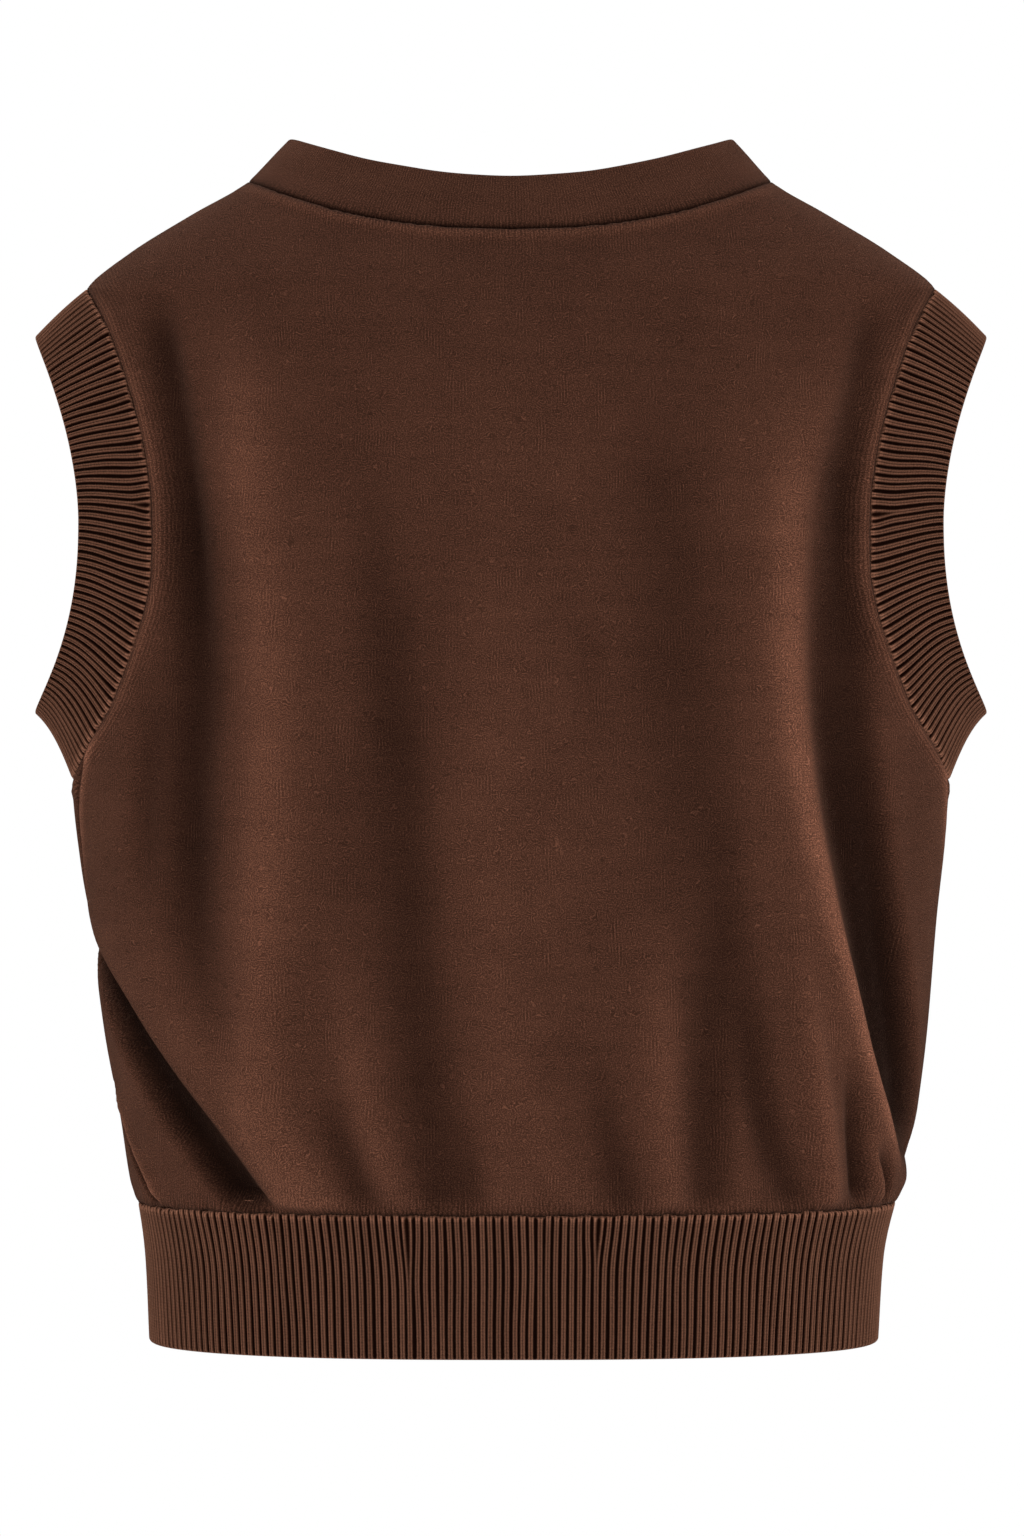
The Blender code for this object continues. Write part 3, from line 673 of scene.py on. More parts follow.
def knit_grid(name, columns, rows, place, closed, layers, levels):
    """Makes one sheet from a flat grid, bent so that each point goes to its place by row and column. Layers
    are UV maps and levels are values kept on the points."""
    shape = bmesh.new()
    bmesh.ops.create_grid(shape, x_segments=columns, y_segments=rows, size=1)
    mesh = bpy.data.meshes.new(name)
    shape.to_mesh(mesh)
    flat = np.zeros(len(mesh.vertices) * 3)
    mesh.vertices.foreach_get("co", flat)
    flat = (flat.reshape(-1, 3) + 1) / 2
    column_of = np.round(flat[:, 0] * columns).astype(int)
    row_of = np.round(flat[:, 1] * rows).astype(int)
    points = place - np.array([0, 0, ORIGIN_HEIGHT])
    mesh.vertices.foreach_set("co", points[row_of, column_of].ravel())
    corner = np.zeros(len(mesh.loops), int)
    mesh.loops.foreach_get("vertex_index", corner)
    for label, (u, v) in layers.items():
        values = np.stack([u[row_of, column_of], v[row_of, column_of]], axis=-1)[corner]
        mesh.uv_layers.new(name=label).data.foreach_set("uv", values.ravel())
    for label, value in levels.items():
        mesh.attributes.new(label, "FLOAT", "POINT").data.foreach_set("value", value[row_of, column_of])
    shape.clear()
    shape.from_mesh(mesh)
    if closed:
        bmesh.ops.remove_doubles(shape, verts=shape.verts, dist=1e-6)
    shape.normal_update()
    inside = Vector(INSIDE)
    if sum((face.calc_center_median() - inside).dot(face.normal) for face in shape.faces[: columns * 2]) < 0:
        bmesh.ops.reverse_faces(shape, faces=shape.faces)
    shape.to_mesh(mesh)
    shape.free()
    mesh.shade_smooth()
    return add_object(name, mesh)


def crowded_rows():
    """Row shares from the hem to the neck, closer over the folds above the hem and at the neck seam."""
    share = np.linspace(0, 1, PANEL_ROWS + 1)
    return share - ROW_CROWDING[0] * np.sin(TURN * share) - ROW_CROWDING[1] * np.sin(3 * TURN * share)


def crowded_columns():
    """Column shares over half the body from -1 to 1, closer over its quarters and at its sides."""
    share = np.linspace(-1, 1, PANEL_COLUMNS + 1)
    share = share + COLUMN_CROWDING[0] * np.sin(TURN * share)
    return share + COLUMN_CROWDING[1] * np.sin(math.pi * share)


def panel_nap(lift, fold_painted_shading, calm, lip, at_band, to_hem, height):
    """Painted light and shade: painted highlights on crests and lips, painted shade in hollows, seams and
    shoulders.
    """
    nap = np.clip(np.exp(lift / np.where(lift > 0, CREST_PAINTED_HIGHLIGHT, HOLLOW_PAINTED_SHADE)), *PAINTED_SHADING_LIMITS)
    nap = nap * (1 + calm * (fold_painted_shading - 1)) * (1 + LIP_PAINTED_HIGHLIGHT * lip)
    # Painted shade in the seams and just above the hem seam.
    for (painted_shade, reach), away in ((SEAM_PAINTED_SHADE, at_band), (HEM_PAINTED_SHADE, to_hem)):
        nap = nap * (1 - painted_shade * hill(away, reach))
    low, high = SHOULDER_HEIGHTS
    return nap * (1 - SHOULDER_PAINTED_SHADE * ease((height - low) / (high - low)))


def panel_marks(to_ring, which_ring, at_band, from_hem, height):
    """Where a panel is puckered by its seams, where its columns run straight, and where rows follow an
    armhole."""
    at_neck = which_ring == 2
    pucker = np.where(from_hem, PUCKERS["hem"], np.where(at_neck, PUCKERS["neck"], PUCKERS["armhole"]))
    pucker = pucker * np.exp(-at_band / PUCKER_REACH)
    straight = np.where(from_hem | at_neck, 0.9 * hill(at_band, STRAIGHT_REACH), 0)
    beside_width = (9 + 9 * ease((height - 470 * MM) / (40 * MM))) * MM
    beside = np.where(at_neck, 0, hill(to_ring - 5 * MM, beside_width))
    return {"pucker": pucker, "straight": straight, "beside_armhole": beside}


def thicken(obj, thickness):
    """Gives a panel its thickness inwards, less at the shoulder tips, where it would cross itself."""
    shell = obj.modifiers.new("cloth thickness", "SOLIDIFY")
    shell.thickness = thickness
    shell.offset = -1
    tips = np.array([torso(side * QUARTER, SHOULDER_TIP) for side in (1, -1)]) - [0, 0, ORIGIN_HEIGHT]
    thin = obj.vertex_groups.new(name="thin at the shoulder tips")
    for point in obj.data.vertices:
        if np.abs(tips - point.co).max(axis=1).min() < TIP_REACH:
            thin.add([point.index], TIP_THINNING, "REPLACE")
    shell.vertex_group = thin.name
    shell.invert_vertex_group = True


def make_panel(name, is_back, sizes):
    """The back or front: the torso form with its folds, rolled in at the bands and notched at plain seams."""
    across, share = np.meshgrid(crowded_columns(), crowded_rows())
    angle, height = panel_places(across, share, is_back)
    base = torso(angle, height)
    normal, sideways = outward(torso, angle, height, BODY_STEPS)

    to_ring, along_ring, which_ring = nearest(base, set_in_rings())
    to_hem = height - HEM_SEAM
    at_band = np.minimum(to_ring, to_hem)
    from_hem = to_hem < to_ring
    # Folds under the arm start right at the armhole seam.
    calm_ring = np.where(height < ARMPIT + ARMPIT_REACH, CALM_ARMPIT, CALM_RING)
    calm = ease(to_hem / CALM_HEM) * ease(to_ring / calm_ring)
    lift, draw, fold_painted_shading = fold_form(angle, height)
    round_body = angle * MEAN_RADIUS
    slack = waver(round_body, SLACK_ROUND, SEEDS["slack round"]) * waver(height, SLACK_UP, SEEDS["slack up"])
    gathers = waver(round_body, GATHERS, SEEDS["gathers"]) * np.exp(-to_hem / GATHER_REACH)
    lift = lift * calm + SLACK_RISE * slack * calm + GATHER_RISE * gathers * ease(to_hem / (4 * MM))

    # The seam lies flat over the shoulder, where the outline runs straight on into the armband.
    flat = hill(height - SHOULDER_TIP, FLAT_AT_TIP) * (which_ring < 2)
    flat = flat + hill(height - NECK_POINT, FLAT_AT_NECK) * (which_ring == 2)
    lip = hill(at_band - LIP_PLACE, LIP_WIDTH) * (1 - flat) * (to_ring < to_hem)
    # Painted highlights and painted shade for the cloth's colour, from the folds, lips and seams.
    painted_shading = panel_nap(lift, fold_painted_shading, calm, lip, at_band, to_hem, height)
    lift = lift - rolled_in(at_band, sizes.seam_roll) * (1 - 0.85 * flat) + LIP_RISE * lip
    units = sum(PANEL_UNITS.values())
    on_plain = (share <= PANEL_UNITS["side"] / units) | (share > 1 - PANEL_UNITS["shoulder"] / units)
    to_plain = np.abs(np.abs(across) - 1) * section("back", height) * QUARTER
    lift = lift - np.where(on_plain, rolled_in(to_plain, PLAIN_ROLL), 0)
    points = base + normal * lift[..., None] + sideways * (draw * calm)[..., None]
    points[..., 2] += seam_waver(angle) * np.exp(-to_hem / (6 * MM))

    steps = np.linalg.norm(np.diff(base, axis=1), axis=-1)
    across_cloth = np.concatenate([np.zeros((len(base), 1)), np.cumsum(steps, axis=1)], axis=1)
    across_cloth -= across_cloth[:, PANEL_COLUMNS // 2][:, None]
    along_seam = np.where(from_hem, across_cloth, along_ring)
    layers = {"cloth": (across_cloth, height), "seam": (along_seam, at_band)}
    marks = panel_marks(to_ring, which_ring, at_band, from_hem, height)
    obj = knit_grid(name, PANEL_COLUMNS, PANEL_ROWS, points, False, layers, {**marks, "painted_shading": painted_shading})
    thicken(obj, sizes.jersey)
    return obj


def folded_path(length, thickness, outer_rows):
    """Rows of a doubled band: from under the panel's edge, over the seam, down its face, round the fold and
    back up inside. Gives for each row how far it is from the seam, how deep it lies and how much it is ribbed
    on the face and inside."""
    radius = thickness / 2
    end = length - radius
    tuck = [(*row, 0) for row in TUCK]
    face = [(at, 0, 1, 0) for at in np.linspace(4.5 * MM, end - 1.0 * MM, outer_rows) / MM]
    fold = []
    for degrees, ribbed in FOLD_RIBS:
        turn = math.radians(degrees)
        fold.append(((end + radius * math.sin(turn)) / MM, radius * (1 - math.cos(turn)) / MM, ribbed, 0))
    inside = [(at / MM, thickness / MM, 0, 0.4) for at in np.linspace(end - 3 * MM, 4 * MM, 5)]
    inside += [(0, (thickness + 1.4 * MM) / MM, 0, 0), (-4.5, (thickness + 1.8 * MM) / MM, 0, 0)]
    path = np.array(tuck + face + fold + inside)
    return path[:, 0] * MM, path[:, 1] * MM, path[:, 2], path[:, 3]


def rib_columns(ribs):
    """For each column round a rib band: its rib's number, how far across that rib it is, and how high it is
    there, alone and parted."""
    across, level, parted = (
        np.append(np.tile(column(RIB, RIB_COLUMNS, name), ribs), 0.0) for name in RIB_COLUMNS
    )
    return np.append(np.repeat(np.arange(ribs), len(RIB)), ribs), across, level, parted


def make_rib_band(name, surface, facing, length, ribs, forks, sizes, seed):
    """A doubled band of ribs on a surface that is given by share of the way round and distance from the seam.
    Facing is 1 or -1, whichever makes the surface's normal point out of the cloth."""
    number, across, level, parted = rib_columns(ribs)
    along, depth, ribbed, ribbed_inside = folded_path(length, sizes.rib_band, 13)
    place, row_along = np.meshgrid((number + across) / ribs, along)
    level = np.broadcast_to(level, place.shape).copy()

    spot = np.arange(ribs + 1) % ribs
    sway = waver(spot, (ribs / 5, ribs / 14, ribs / 31), seed)[number]
    uneven = np.random.default_rng(seed).uniform(-1, 1, ribs + 1)
    uneven[-1] = uneven[0]
    drift = RIB_SWAY * sway * waver(row_along, (length * 1.7, length * 0.8), seed + 1)
    bend = RIB_BEND * uneven[(number * 7) % ribs] * np.sin(row_along / length * 5)
    drift = drift + RIB_SCATTER * uneven[number] + bend
    centre = (np.arange(ribs) + 0.5) / ribs
    for where, reach in forks:
        fork = int(np.argmin(np.abs(centre - where)))
        opened = ease(1.15 - row_along / (reach * MM))
        gap = (place * ribs - (fork + 0.5) + ribs / 2) % ribs - ribs / 2
        drift = drift + opened * FORK_SHIFT * np.tanh(gap * 2.2) * np.exp(-np.abs(gap) / FORK_REACH)
        level += (parted - level) * opened * (number == fork)
    share = (place + drift / ribs) % 1.0
    share[:, -1] = share[:, 0]

    row_along = row_along - HEAD_WANDER * uneven[(number * 5 + 2) % ribs] * hill(row_along, 3 * MM)
    normal = facing * outward(surface, share, row_along, RIB_STEPS)[0]
    worn = 1 + RIB_WEAR * uneven[(number * 3 + 1) % ribs]
    sunk = depth[:, None] + (1 - level) * ribbed[:, None] * sizes.groove * worn
    sunk = sunk - (1 - level) * ribbed_inside[:, None] * sizes.groove * 0.5
    points = surface(share, row_along) - normal * sunk[..., None]
    # Where a painted highlight lies on each rib's head, just below the seam.
    painted_head_highlight = hill(row_along - HEAD_HIGHLIGHT_PLACE, HEAD_HIGHLIGHT_WIDTH) * (depth[:, None] < sizes.rib_band / 2)
    # Where painted shade of the grooves lies: 1 on a ridge, falling to 0 down in a groove.
    ridge_not_painted_shade = 1 - (1 - level) * np.maximum(ribbed, ribbed_inside)[:, None]
    down = np.broadcast_to(walked(np.stack([along, depth], axis=-1))[:, None], place.shape)
    layers = {"ribs": (np.broadcast_to(number + across, place.shape), down)}
    levels = {"ridge_not_painted_shade": ridge_not_painted_shade, "painted_head_highlight": painted_head_highlight}
    return knit_grid(name, len(number) - 1, len(along) - 1, points, True, layers, levels)


def even_turns(ring_points, share):
    """Ring positions that space points evenly round a closed line, for shares from 0 to 1."""
    done = walked(ring_points(SPOTS))
    return np.interp(share, done / done[-1], SPOTS), done[-1]


def hem_surface():
    """The hem band's face, its ribs evenly spaced round both its seam and its fold."""
    spots = SPOTS[::2]
    last_spot = len(spots) - 1
    table = []
    for level in HEM_LEVELS:
        done = walked(torso(TURN * spots, np.full_like(spots, level)))
        table.append(np.interp(spots, done / done[-1], spots))
    table = np.array(table)

    def surface(share, along):
        height = HEM_SEAM - along
        row = (height - HEM_LEVELS[0]) / (HEM_LEVELS[1] - HEM_LEVELS[0])
        row = np.clip(row, 0, len(HEM_LEVELS) - 1.001)
        spot = (share % 1.0) * last_spot
        low_row, low_spot = np.floor(row).astype(int), np.floor(spot).astype(int)
        high_spot = np.minimum(low_spot + 1, last_spot)
        part_row, part_spot = row - low_row, spot - low_spot
        low = table[low_row, low_spot] * (1 - part_spot) + table[low_row, high_spot] * part_spot
        high = table[low_row + 1, low_spot] * (1 - part_spot) + table[low_row + 1, high_spot] * part_spot
        return torso(TURN * (low * (1 - part_row) + high * part_row), height)

    return surface, float(walked(torso(TURN * spots, np.zeros_like(spots)))[-1])


def square_to(chord, run):
    """The part of a chord that lies at right angles to an edge, at the chord's own length."""
    run = unit(run)
    square = chord - np.sum(chord * run, axis=-1, keepdims=True) * run
    return unit(square) * np.linalg.norm(chord, axis=-1, keepdims=True)


def armband_surface(side):
    """The armband's face, from the armhole seam out to its opening, and its mean width and length round. Its
    ribs leave both edges at right angles and slant in between where the ring is tight."""
    middle = (OPENING_TOP + OPENING_BOTTOM) / 2
    half = (OPENING_TOP - OPENING_BOTTOM) / 2

    def seam(turn):
        return torso(*armhole_seam(ring_at(turn), side))

    def opening(turn):
        swing, lean = np.sin(ring_at(turn)), np.cos(ring_at(turn))
        depth = np.where(swing >= 0, OPENING_DEPTH["back"], OPENING_DEPTH["front"])
        power = np.where(lean > 0, OPENING_POWER["top"], OPENING_POWER["bottom"])
        reach = OPENING_REACH + OPENING_FLARE * np.abs(lean) ** power
        return np.stack([side * reach, depth * swing, middle + half * lean], axis=-1)

    def run_of(line, turn):
        return line(np.clip(turn + EDGE_STEP, 0, 1)) - line(np.clip(turn - EDGE_STEP, 0, 1))

    seam_turns, seam_round = even_turns(seam, SPOTS)
    open_turns, open_round = even_turns(opening, SPOTS)
    width = float(np.linalg.norm(opening(open_turns) - seam(seam_turns), axis=1).mean())

    def surface(share, along):
        share = share % 1.0
        seam_turn = np.interp(share, SPOTS, seam_turns)
        open_turn = np.interp(share, SPOTS, open_turns)
        inner, outer = seam(seam_turn), opening(open_turn)
        ring_angle, ring_height = armhole_seam(ring_at(seam_turn), side)
        body_normal, _ = outward(torso, ring_angle, ring_height, BODY_STEPS)
        run = run_of(seam, seam_turn)
        into_panel = unit(np.cross(body_normal, run)) * side
        part = np.clip(along / width, 0, 1.2)[..., None]
        chord = outer - inner
        start = inner + HANDLE * square_to(chord, run)
        finish = outer - HANDLE * square_to(chord, run_of(opening, open_turn))
        on_band = inner * (1 - part) ** 3 + 3 * start * part * (1 - part) ** 2
        on_band = on_band + 3 * finish * part**2 * (1 - part) + outer * part**3
        away = unit(((inner + outer) / 2 - np.array([0, 0, middle])) * [0, 1, 1])
        upness = np.cos(ring_at(seam_turn))[..., None]
        bow = np.where(upness > 0, ARMBAND_BOW["top"], ARMBAND_BOW["bottom"])
        on_band = on_band + away * (np.sin(math.pi * np.clip(part, 0, 1)) * upness * bow)
        under = inner - into_panel * along[..., None]
        return np.where(along[..., None] < 0, under, on_band)

    return surface, width, (seam_round + open_round) / 2


def make_neckband(sizes):
    """The doubled band of body knit that stands up from the neck seam."""
    along, depth, _, _ = folded_path(NECKBAND_HEIGHT, sizes.neckband, 12)

    def seam_line(turn):
        return torso(*neck_seam(ring_at(turn)))

    shares = np.linspace(0, 1, NECKBAND_COLUMNS + 1)
    turns, round_length = even_turns(seam_line, shares)
    turns[-1] = 1.0
    turn, row_along = np.meshgrid(ring_at(turns), along)

    def surface(ring, run):
        seam_angle, seam_height = neck_seam(ring)
        edge_angle, edge_height = neck_edge(ring)
        part = run / NECKBAND_HEIGHT
        wrap = np.round((edge_angle - seam_angle) / TURN) * TURN
        angle = seam_angle + (edge_angle - wrap - seam_angle) * part
        return torso(angle, seam_height + (edge_height - seam_height) * part)

    normal, _ = outward(surface, turn, row_along, NECKBAND_STEPS)
    normal[:, -1] = normal[:, 0]
    round_share = np.broadcast_to(shares, turn.shape)
    up = np.clip(row_along / NECKBAND_HEIGHT, 0, 1)
    puff = NECKBAND_PUFF * np.sin(math.pi * up) * (depth[:, None] < sizes.neckband / 2)
    ripple = NECKBAND_RIPPLE * waver(round_share, (1 / 7, 1 / 11, 1 / 19), SEEDS["neckband"]) * up
    points = surface(turn, row_along) - normal * (depth[:, None] - puff - ripple)[..., None]
    points[:, -1] = points[:, 0]
    down = walked(np.stack([along, depth], axis=-1))
    rows = np.broadcast_to(down[:, None], turn.shape)
    still = np.zeros(turn.shape)
    place = (round_share * round_length, rows)
    levels = {
        "pucker": 0.4 * np.exp(-np.abs(rows - 8 * MM) / (3 * MM)),
        "straight": still + 0.8,
        "beside_armhole": still,
        # Painted shade: darker just above the neck seam, fading over the band's lowest few millimetres.
        "painted_shading": 0.92 - 0.55 * hill(row_along, 1.5 * MM) - 0.2 * hill(row_along, 5 * MM),
    }
    layers = {"cloth": place, "seam": place}
    obj = knit_grid("neckband_knit", NECKBAND_COLUMNS, len(along) - 1, points, True, layers, levels)
    return obj, round_length, float(down[-1])


def shader_tree(name):
    """A new material, its node tree and its shader."""
    material = bpy.data.materials.new(name)
    material.use_nodes = True
    return material, material.node_tree, material.node_tree.nodes["Principled BSDF"]


def add_node(tree, kind, settings=None, **inputs):
    """A shader node with its settings, and each input joined to a socket or set to a value."""
    made = tree.nodes.new(kind)
    for key, value in (settings or {}).items():
        setattr(made, key, value)
    for key, value in inputs.items():
        socket = made.inputs[int(key[1:])] if key[0] == "i" and key[1:].isdigit() else made.inputs[key]
        if isinstance(value, bpy.types.NodeSocket):
            tree.links.new(value, socket)
        else:
            socket.default_value = value
    return made


class KnitPattern:
    """A cloth's material, with short calls for the nodes of its pattern."""

    def __init__(self, name):
        self.material, self.tree, self.shader = shader_tree(name)

    def node(self, kind, settings=None, **inputs):
        return add_node(self.tree, kind, settings, **inputs)

    def uv(self, name):
        return self.node("ShaderNodeUVMap", {"uv_map": name}).outputs[0]

    def mark(self, name):
        """A value that is kept on the piece's points."""
        return self.node("ShaderNodeAttribute", {"attribute_name": name}).outputs["Fac"]

    def split(self, place):
        return self.node("ShaderNodeSeparateXYZ", i0=place).outputs

    def maths(self, operation, first, second=0.0, third=0.0):
        return self.node("ShaderNodeMath", {"operation": operation}, i0=first, i1=second, i2=third).outputs[0]

    def times(self, first, second):
        return self.maths("MULTIPLY", first, second)

    def plus(self, first, second):
        return self.maths("ADD", first, second)

    def times_plus(self, value, factor, more):
        return self.maths("MULTIPLY_ADD", value, factor, more)

    def wave(self, place, length):
        return self.maths("SINE", self.times(place, TURN / length))

    def noise(self, place, scale, detail=2.0, roughness=0.5, distortion=0.0):
        inputs = {"Scale": scale, "Detail": detail, "Roughness": roughness, "Distortion": distortion}
        return self.node("ShaderNodeTexNoise", Vector=place, **inputs).outputs["Fac"]

    def vector_maths(self, operation, *values):
        inputs = {f"i{index}": value for index, value in enumerate(values)}
        return self.node("ShaderNodeVectorMath", {"operation": operation}, **inputs).outputs[0]

    def stretched(self, place, amounts):
        return self.vector_maths("MULTIPLY", place, amounts)

    def mapped(self, value, low, high, lowest=0.0):
        """A value's stretch from low to high, spread from lowest to 1."""
        return self.node("ShaderNodeMapRange", i0=value, i1=low, i2=high, i3=lowest, i4=1.0).outputs[0]

    def between(self, factor, first, second):
        return self.node("ShaderNodeMix", {"data_type": "FLOAT"}, i0=factor, i2=first, i3=second).outputs[0]

    def varied(self, tone, noise, amount):
        """A tone that a noise makes uneven, by this amount from its darkest to its lightest."""
        return self.plus(tone, self.times(self.maths("SUBTRACT", noise, 0.5), amount))

    def shade(self, colour, tone):
        """A colour times a tone that varies over the cloth."""
        flat = self.node("ShaderNodeRGB").outputs[0]
        flat.default_value = (*colour, 1.0)
        grey = self.node("ShaderNodeCombineColor", Red=tone, Green=tone, Blue=tone).outputs[0]
        return self.mixed("MULTIPLY", 1.0, flat, grey)

    def mixed(self, blend, factor, first, second):
        settings = {"data_type": "RGBA", "blend_type": blend}
        return self.node("ShaderNodeMix", settings, i0=factor, i6=first, i7=second).outputs[2]

    def finish(self, colour, height, reach, sheen):
        """Joins the pattern to the shader, which is matt with a soft warm sheen, and gives the material."""
        bump = self.node("ShaderNodeBump", Height=height, Strength=1.0, Distance=reach).outputs[0]
        self.tree.links.new(colour, self.shader.inputs["Base Color"])
        self.tree.links.new(bump, self.shader.inputs["Normal"])
        self.shader.inputs["Roughness"].default_value = 0.95
        self.shader.inputs["Specular IOR Level"].default_value = 0.03
        self.shader.inputs["Sheen Weight"].default_value = sheen
        self.shader.inputs["Sheen Roughness"].default_value = 0.28
        self.shader.inputs["Sheen Tint"].default_value = (0.9, 0.5, 0.36, 1.0)
        return self.material


def brushed_knit(finish):
    """Fine knit, its columns of stitches half hidden under a short mottled nap, puckered beside its seams."""
    knit = KnitPattern("brushed_knit")
    cloth = knit.uv("cloth")
    bent = knit.node("ShaderNodeTexNoise", Vector=cloth, Scale=185.0, Detail=1.0).outputs["Color"]
    curls = knit.split(knit.vector_maths("MULTIPLY_ADD", bent, (CURL_BEND, CURL_BEND, 0), cloth))
    wales = knit.wave(knit.times_plus(knit.noise(cloth, 60.0), 0.003, knit.split(cloth)[0]), finish.wale)
    patches = knit.mapped(knit.noise(cloth, 150.0, 1.0), 0.42, 0.58)
    curled = knit.between(patches, knit.wave(curls[0], finish.curl), knit.wave(curls[1], finish.curl))
    shown = knit.mapped(knit.noise(knit.stretched(cloth, (1, 0.5, 1)), 85.0, 1.0), 0.56, 0.68)
    shown = knit.maths("MAXIMUM", shown, knit.mark("straight"))
    lines = knit.between(shown, curled, wales)
    lines = knit.maths("POWER", knit.times_plus(lines, 0.5, 0.5), 2.5)
    strong = knit.mapped(knit.noise(cloth, 260.0, 1.0), 0.4, 0.72, 0.12)
    lines = knit.times(knit.maths("SUBTRACT", lines, 0.34), strong)
    nap = knit.maths("SUBTRACT", knit.noise(cloth, 1700.0, 1.0, 0.6, 0.3), 0.5)
    face = knit.times_plus(nap, 2.4, knit.times(lines, 0.85))

    seam = knit.uv("seam")
    along, beside = knit.split(seam)[:2]
    ruck = knit.wave(knit.plus(along, knit.times(knit.noise(seam, 160.0), 0.006)), RUCK_LENGTH)
    ruck = knit.times(ruck, knit.times(knit.mark("pucker"), 0.5))
    rows = knit.wave(knit.times_plus(knit.noise(seam, 70.0), 0.0016, beside), ROW_LENGTH)
    rows = knit.times(rows, knit.times(knit.mark("beside_armhole"), 0.17))
    relief = knit.plus(knit.plus(face, ruck), rows)

    tone = knit.maths("MAXIMUM", knit.times_plus(relief, 1.85, 1.0), 0.6)
    tone = knit.varied(tone, knit.noise(cloth, 22.0, 3.0, 0.6), 0.45)
    tone = knit.varied(tone, knit.noise(knit.stretched(cloth, (0.35, 2.2, 1)), 60.0, 2.0), 0.28)
    # Painted light and shade from the folds, lips and seams.
    tone = knit.times(tone, knit.mark("painted_shading"))
    return knit.finish(knit.shade(finish.cloth, tone), relief, KNIT_RELIEF, finish.sheen)


def coarse_rib(finish):
    """Rib knit: two columns of stitches on each ridge, painted shade in the grooves and painted highlights on
    the heads.
    """
    knit = KnitPattern("coarse_rib")
    ribs = knit.uv("ribs")
    phase, down = knit.split(ribs)[:2]
    columns = knit.maths("COSINE", knit.times(phase, 2 * TURN))
    slant = knit.times(knit.maths("PINGPONG", phase, 0.5), 2.4)
    place = knit.stretched(ribs, (RIB_PITCH, 1.0, 1.0))
    down = knit.times_plus(knit.noise(place, 420.0), 0.0016, down)
    stitch = knit.maths("SINE", knit.times_plus(down, TURN / STITCH_LENGTH, slant))
    nap = knit.noise(place, 1100.0, 2.0, 0.6, 0.8)
    relief = knit.times_plus(columns, -0.40, knit.times_plus(stitch, 0.11, nap))
    tone = knit.plus(relief, 0.5)
    tone = knit.varied(tone, knit.noise(place, 35.0, 3.0, 0.6), 0.22)
    tone = knit.varied(tone, knit.noise(knit.stretched(ribs, (0.37, 4.0, 1.0)), 1.0, 1.0), 0.45)
    # Painted highlight on each rib's head just below the seam.
    tone = knit.times(tone, knit.times_plus(knit.mark("painted_head_highlight"), 0.8, 1.0))
    # Painted shade: the colour darkens to the near-black groove colour down the groove walls and into the
    # grooves.
    level = knit.maths("POWER", knit.mark("ridge_not_painted_shade"), 3.6)
    colour = knit.mixed("MIX", level, (*finish.groove, 1.0), knit.shade(finish.rib, tone))
    return knit.finish(colour, relief, RIB_RELIEF, finish.sheen)


def material_of(maker, scene):
    """A knit's material, made once and then shared."""
    return bpy.data.materials.get(maker.__name__) or maker(scene.vest_finish)


def dress(obj, node, material, flat):
    """Gives a finished piece its cloth, hangs it from the root and hides the solid it stands for."""
    flat = tuple(round(float(side), 3) for side in flat)
    obj.data.materials.append(material)
    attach(obj, "root")
    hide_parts(node)


class VEST_OT_panels(Operator):
    """Makes the back and the front with their folds"""

    bl_idname = "vest.panels"
    bl_label = "Back and Front"

    def execute(self, context):
        scene = context.scene
        knit = material_of(brushed_knit, scene)
        for node, flat, area in PANEL_CUTS:
            obj = make_panel(f"{node}_panel", node == "back", scene.vest)
            dress(obj, node, knit, flat)
        return {"FINISHED"}


class VEST_OT_neckband(Operator):
    """Makes the doubled neckband"""

    bl_idname = "vest.neckband"
    bl_label = "Neckband"

    def execute(self, context):
        obj, round_length, unrolled = make_neckband(context.scene.vest)
        knit = material_of(brushed_knit, context.scene)
        dress(obj, "neckband", knit, (round_length, unrolled))
        return {"FINISHED"}


class VEST_OT_armbands(Operator):
    """Makes the two ribbed armbands"""

    bl_idname = "vest.armbands"
    bl_label = "Armbands"

    def execute(self, context):
        sizes = context.scene.vest
        rib = material_of(coarse_rib, context.scene)
        for hand, side in (("left", 1), ("right", -1)):
            surface, width, round_length = armband_surface(side)
            forks = [(at if side > 0 else 1 - at, reach) for at, reach in ARMBAND_FORKS]
            name, seed = f"armband_rib_{hand}", SEEDS["armbands"] + side
            obj = make_rib_band(name, surface, side, width, sizes.armband_ribs, forks, sizes, seed)
            dress(obj, f"armband_{hand}", rib, (round_length, 2 * width))
        return {"FINISHED"}


class VEST_OT_hem_band(Operator):
    """Makes the ribbed hem band"""

    bl_idname = "vest.hem_band"
    bl_label = "Hem Band"

    def execute(self, context):
        sizes = context.scene.vest
        surface, round_length = hem_surface()
        obj = make_rib_band("hem_rib", surface, -1, HEM_SEAM, sizes.hem_ribs, HEM_FORKS, sizes, SEEDS["hem"])
        rib = material_of(coarse_rib, context.scene)
        dress(obj, "hem_band", rib, (round_length, 2 * HEM_SEAM))
        return {"FINISHED"}


def aim(obj, place, target):
    """Puts a camera or lamp at a place and turns it to look at another."""
    obj.location = place
    obj.rotation_euler = (Vector(target) - Vector(place)).to_track_quat("-Z", "Y").to_euler()


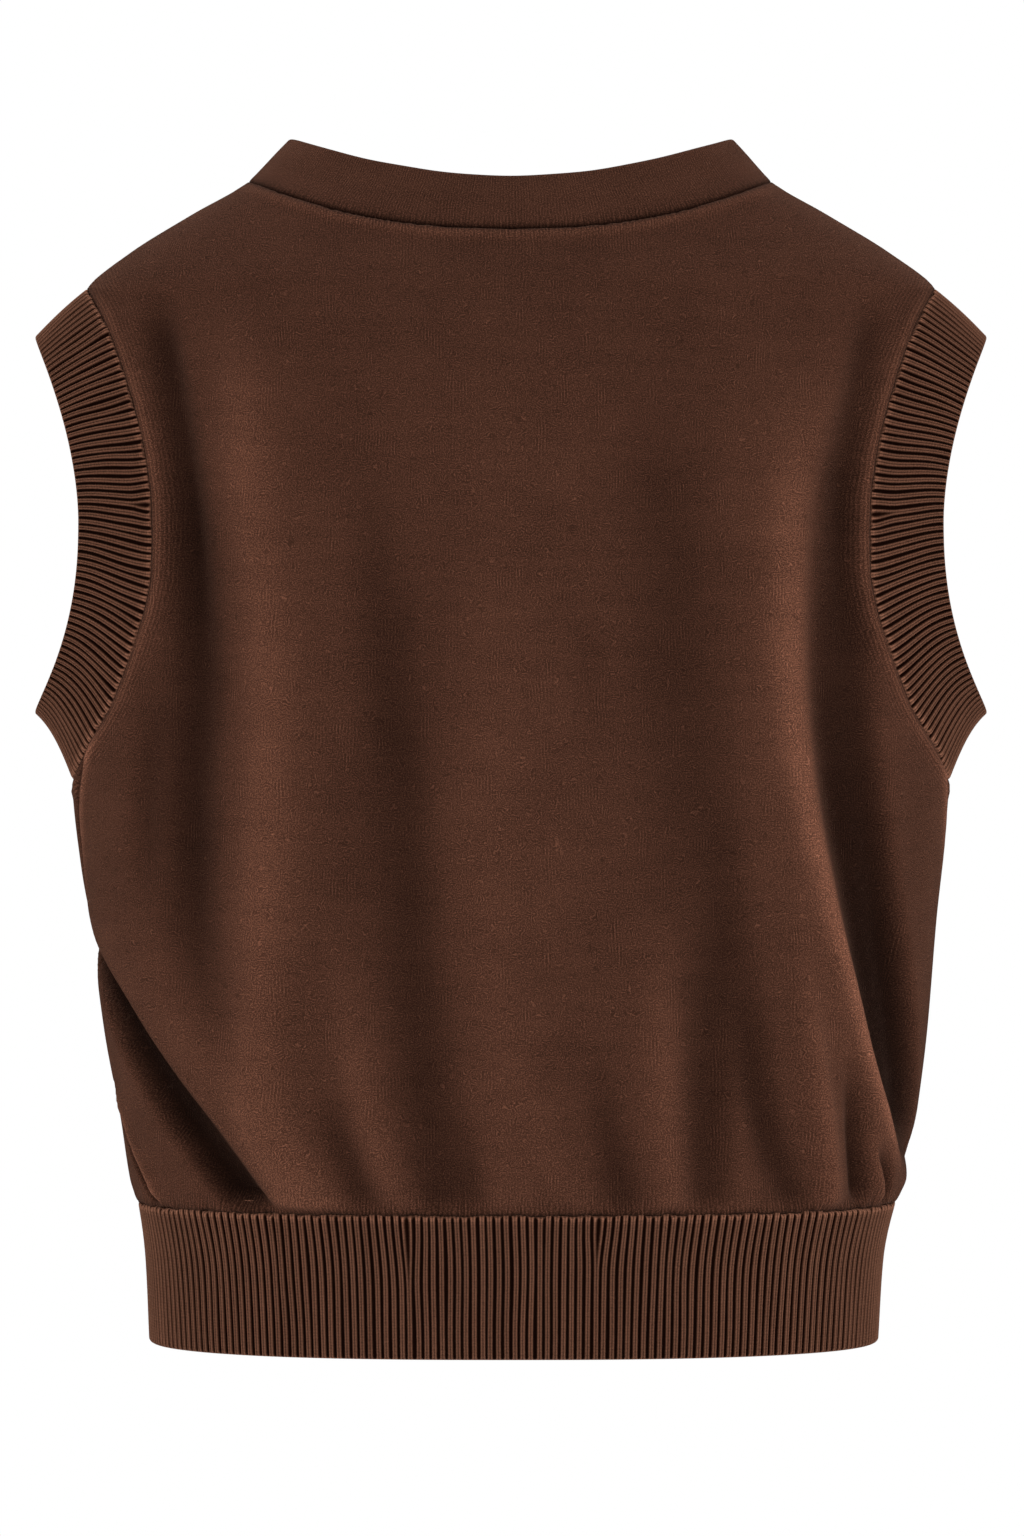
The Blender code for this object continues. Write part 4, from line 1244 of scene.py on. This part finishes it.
class VEST_OT_stage(Operator):
    """Makes the camera, the lights, the world and the floor"""

    bl_idname = "vest.stage"
    bl_label = "Studio"

    def execute(self, context):
        scene = context.scene
        studio = scene.vest_studio
        level = studio.camera_height - ORIGIN_HEIGHT

        camera = add_object("camera", bpy.data.cameras.new("camera"))
        aim(camera, (CAMERA_SHIFT, studio.distance, level), (CAMERA_SHIFT, 0, level))
        camera.data.sensor_fit = "VERTICAL"
        camera.data.sensor_height = SENSOR_HEIGHT
        camera.data.lens = SENSOR_HEIGHT * studio.distance / studio.view_height
        scene.camera = camera

        middle = (0, 0, level)
        for name, place, size, power in (
            ("key", (-0.1, 3.3, 0.3), 0.9, studio.key),
            ("fill_left", (2.5, 0.4, 0.1), 1.4, 3.0 * studio.fill),
            ("fill_right", (-2.5, 0.4, 0.3), 1.4, 3.8 * studio.fill),
            ("top", (0.4, -0.7, 2.1), 1.2, 4.4 * studio.fill),
            ("front_key", (-0.25, -3.3, 0.3), 0.9, studio.key),
        ):
            light = bpy.data.lights.new(name, "AREA")
            light.size = size
            light.energy = power
            aim(add_object(name, light), place, middle)

        world = bpy.data.worlds.new("pale studio")
        world.use_nodes = True
        white = (1, 1, 1, 1)
        tree = world.node_tree
        tree.nodes.clear()
        seen = add_node(tree, "ShaderNodeBackground", None, Color=white, Strength=1.0).outputs[0]
        cast = add_node(tree, "ShaderNodeBackground", None, Color=white, Strength=studio.ambient).outputs[0]
        looked_at = add_node(tree, "ShaderNodeLightPath").outputs["Is Camera Ray"]
        mixed = add_node(tree, "ShaderNodeMixShader", None, i0=looked_at, i1=cast, i2=seen).outputs[0]
        add_node(tree, "ShaderNodeOutputWorld", None, Surface=mixed)
        scene.world = world
        scene.view_settings.view_transform = "Standard"

        shape = bmesh.new()
        bmesh.ops.create_circle(shape, cap_ends=True, segments=96, radius=FLOOR_RADIUS)
        bmesh.ops.translate(shape, verts=shape.verts, vec=(0, 0, studio.floor))
        mesh = bpy.data.meshes.new("floor")
        shape.to_mesh(mesh)
        shape.free()
        floor = add_object("floor", mesh)
        material, _, shader = shader_tree("pale_floor")
        shader.inputs["Base Color"].default_value = (0.88, 0.88, 0.88, 1)
        shader.inputs["Roughness"].default_value = 0.9
        mesh.materials.append(material)
        return {"FINISHED"}


OPERATORS = (VEST_OT_panels, VEST_OT_neckband, VEST_OT_armbands, VEST_OT_hem_band, VEST_OT_stage)


class VEST_PT_dresser(Panel):
    """Lists the vest's pieces and its sizes"""

    bl_idname = "VEST_PT_dresser"
    bl_label = "Knitted Vest"
    bl_space_type = "VIEW_3D"
    bl_region_type = "UI"
    bl_category = "Vest"

    def draw(self, context):
        for group in (context.scene.vest, context.scene.vest_finish, context.scene.vest_studio):
            for name in group.__annotations__:
                self.layout.prop(group, name)
        for operator in OPERATORS:
            self.layout.operator(operator.bl_idname)


CLASSES = (VestSettings, VestFinish, StudioSettings, *OPERATORS, VEST_PT_dresser)


def register():
    for item in CLASSES:
        bpy.utils.register_class(item)
    bpy.types.Scene.vest = PointerProperty(type=VestSettings)
    bpy.types.Scene.vest_finish = PointerProperty(type=VestFinish)
    bpy.types.Scene.vest_studio = PointerProperty(type=StudioSettings)


def unregister():
    del bpy.types.Scene.vest_studio
    del bpy.types.Scene.vest_finish
    del bpy.types.Scene.vest
    for item in reversed(CLASSES):
        bpy.utils.unregister_class(item)


def main():
    register()
    bpy.ops.vest.stage()
    bpy.ops.vest.panels()
    bpy.ops.vest.neckband()
    bpy.ops.vest.armbands()
    bpy.ops.vest.hem_band()


if __name__ == "__main__":
    main()
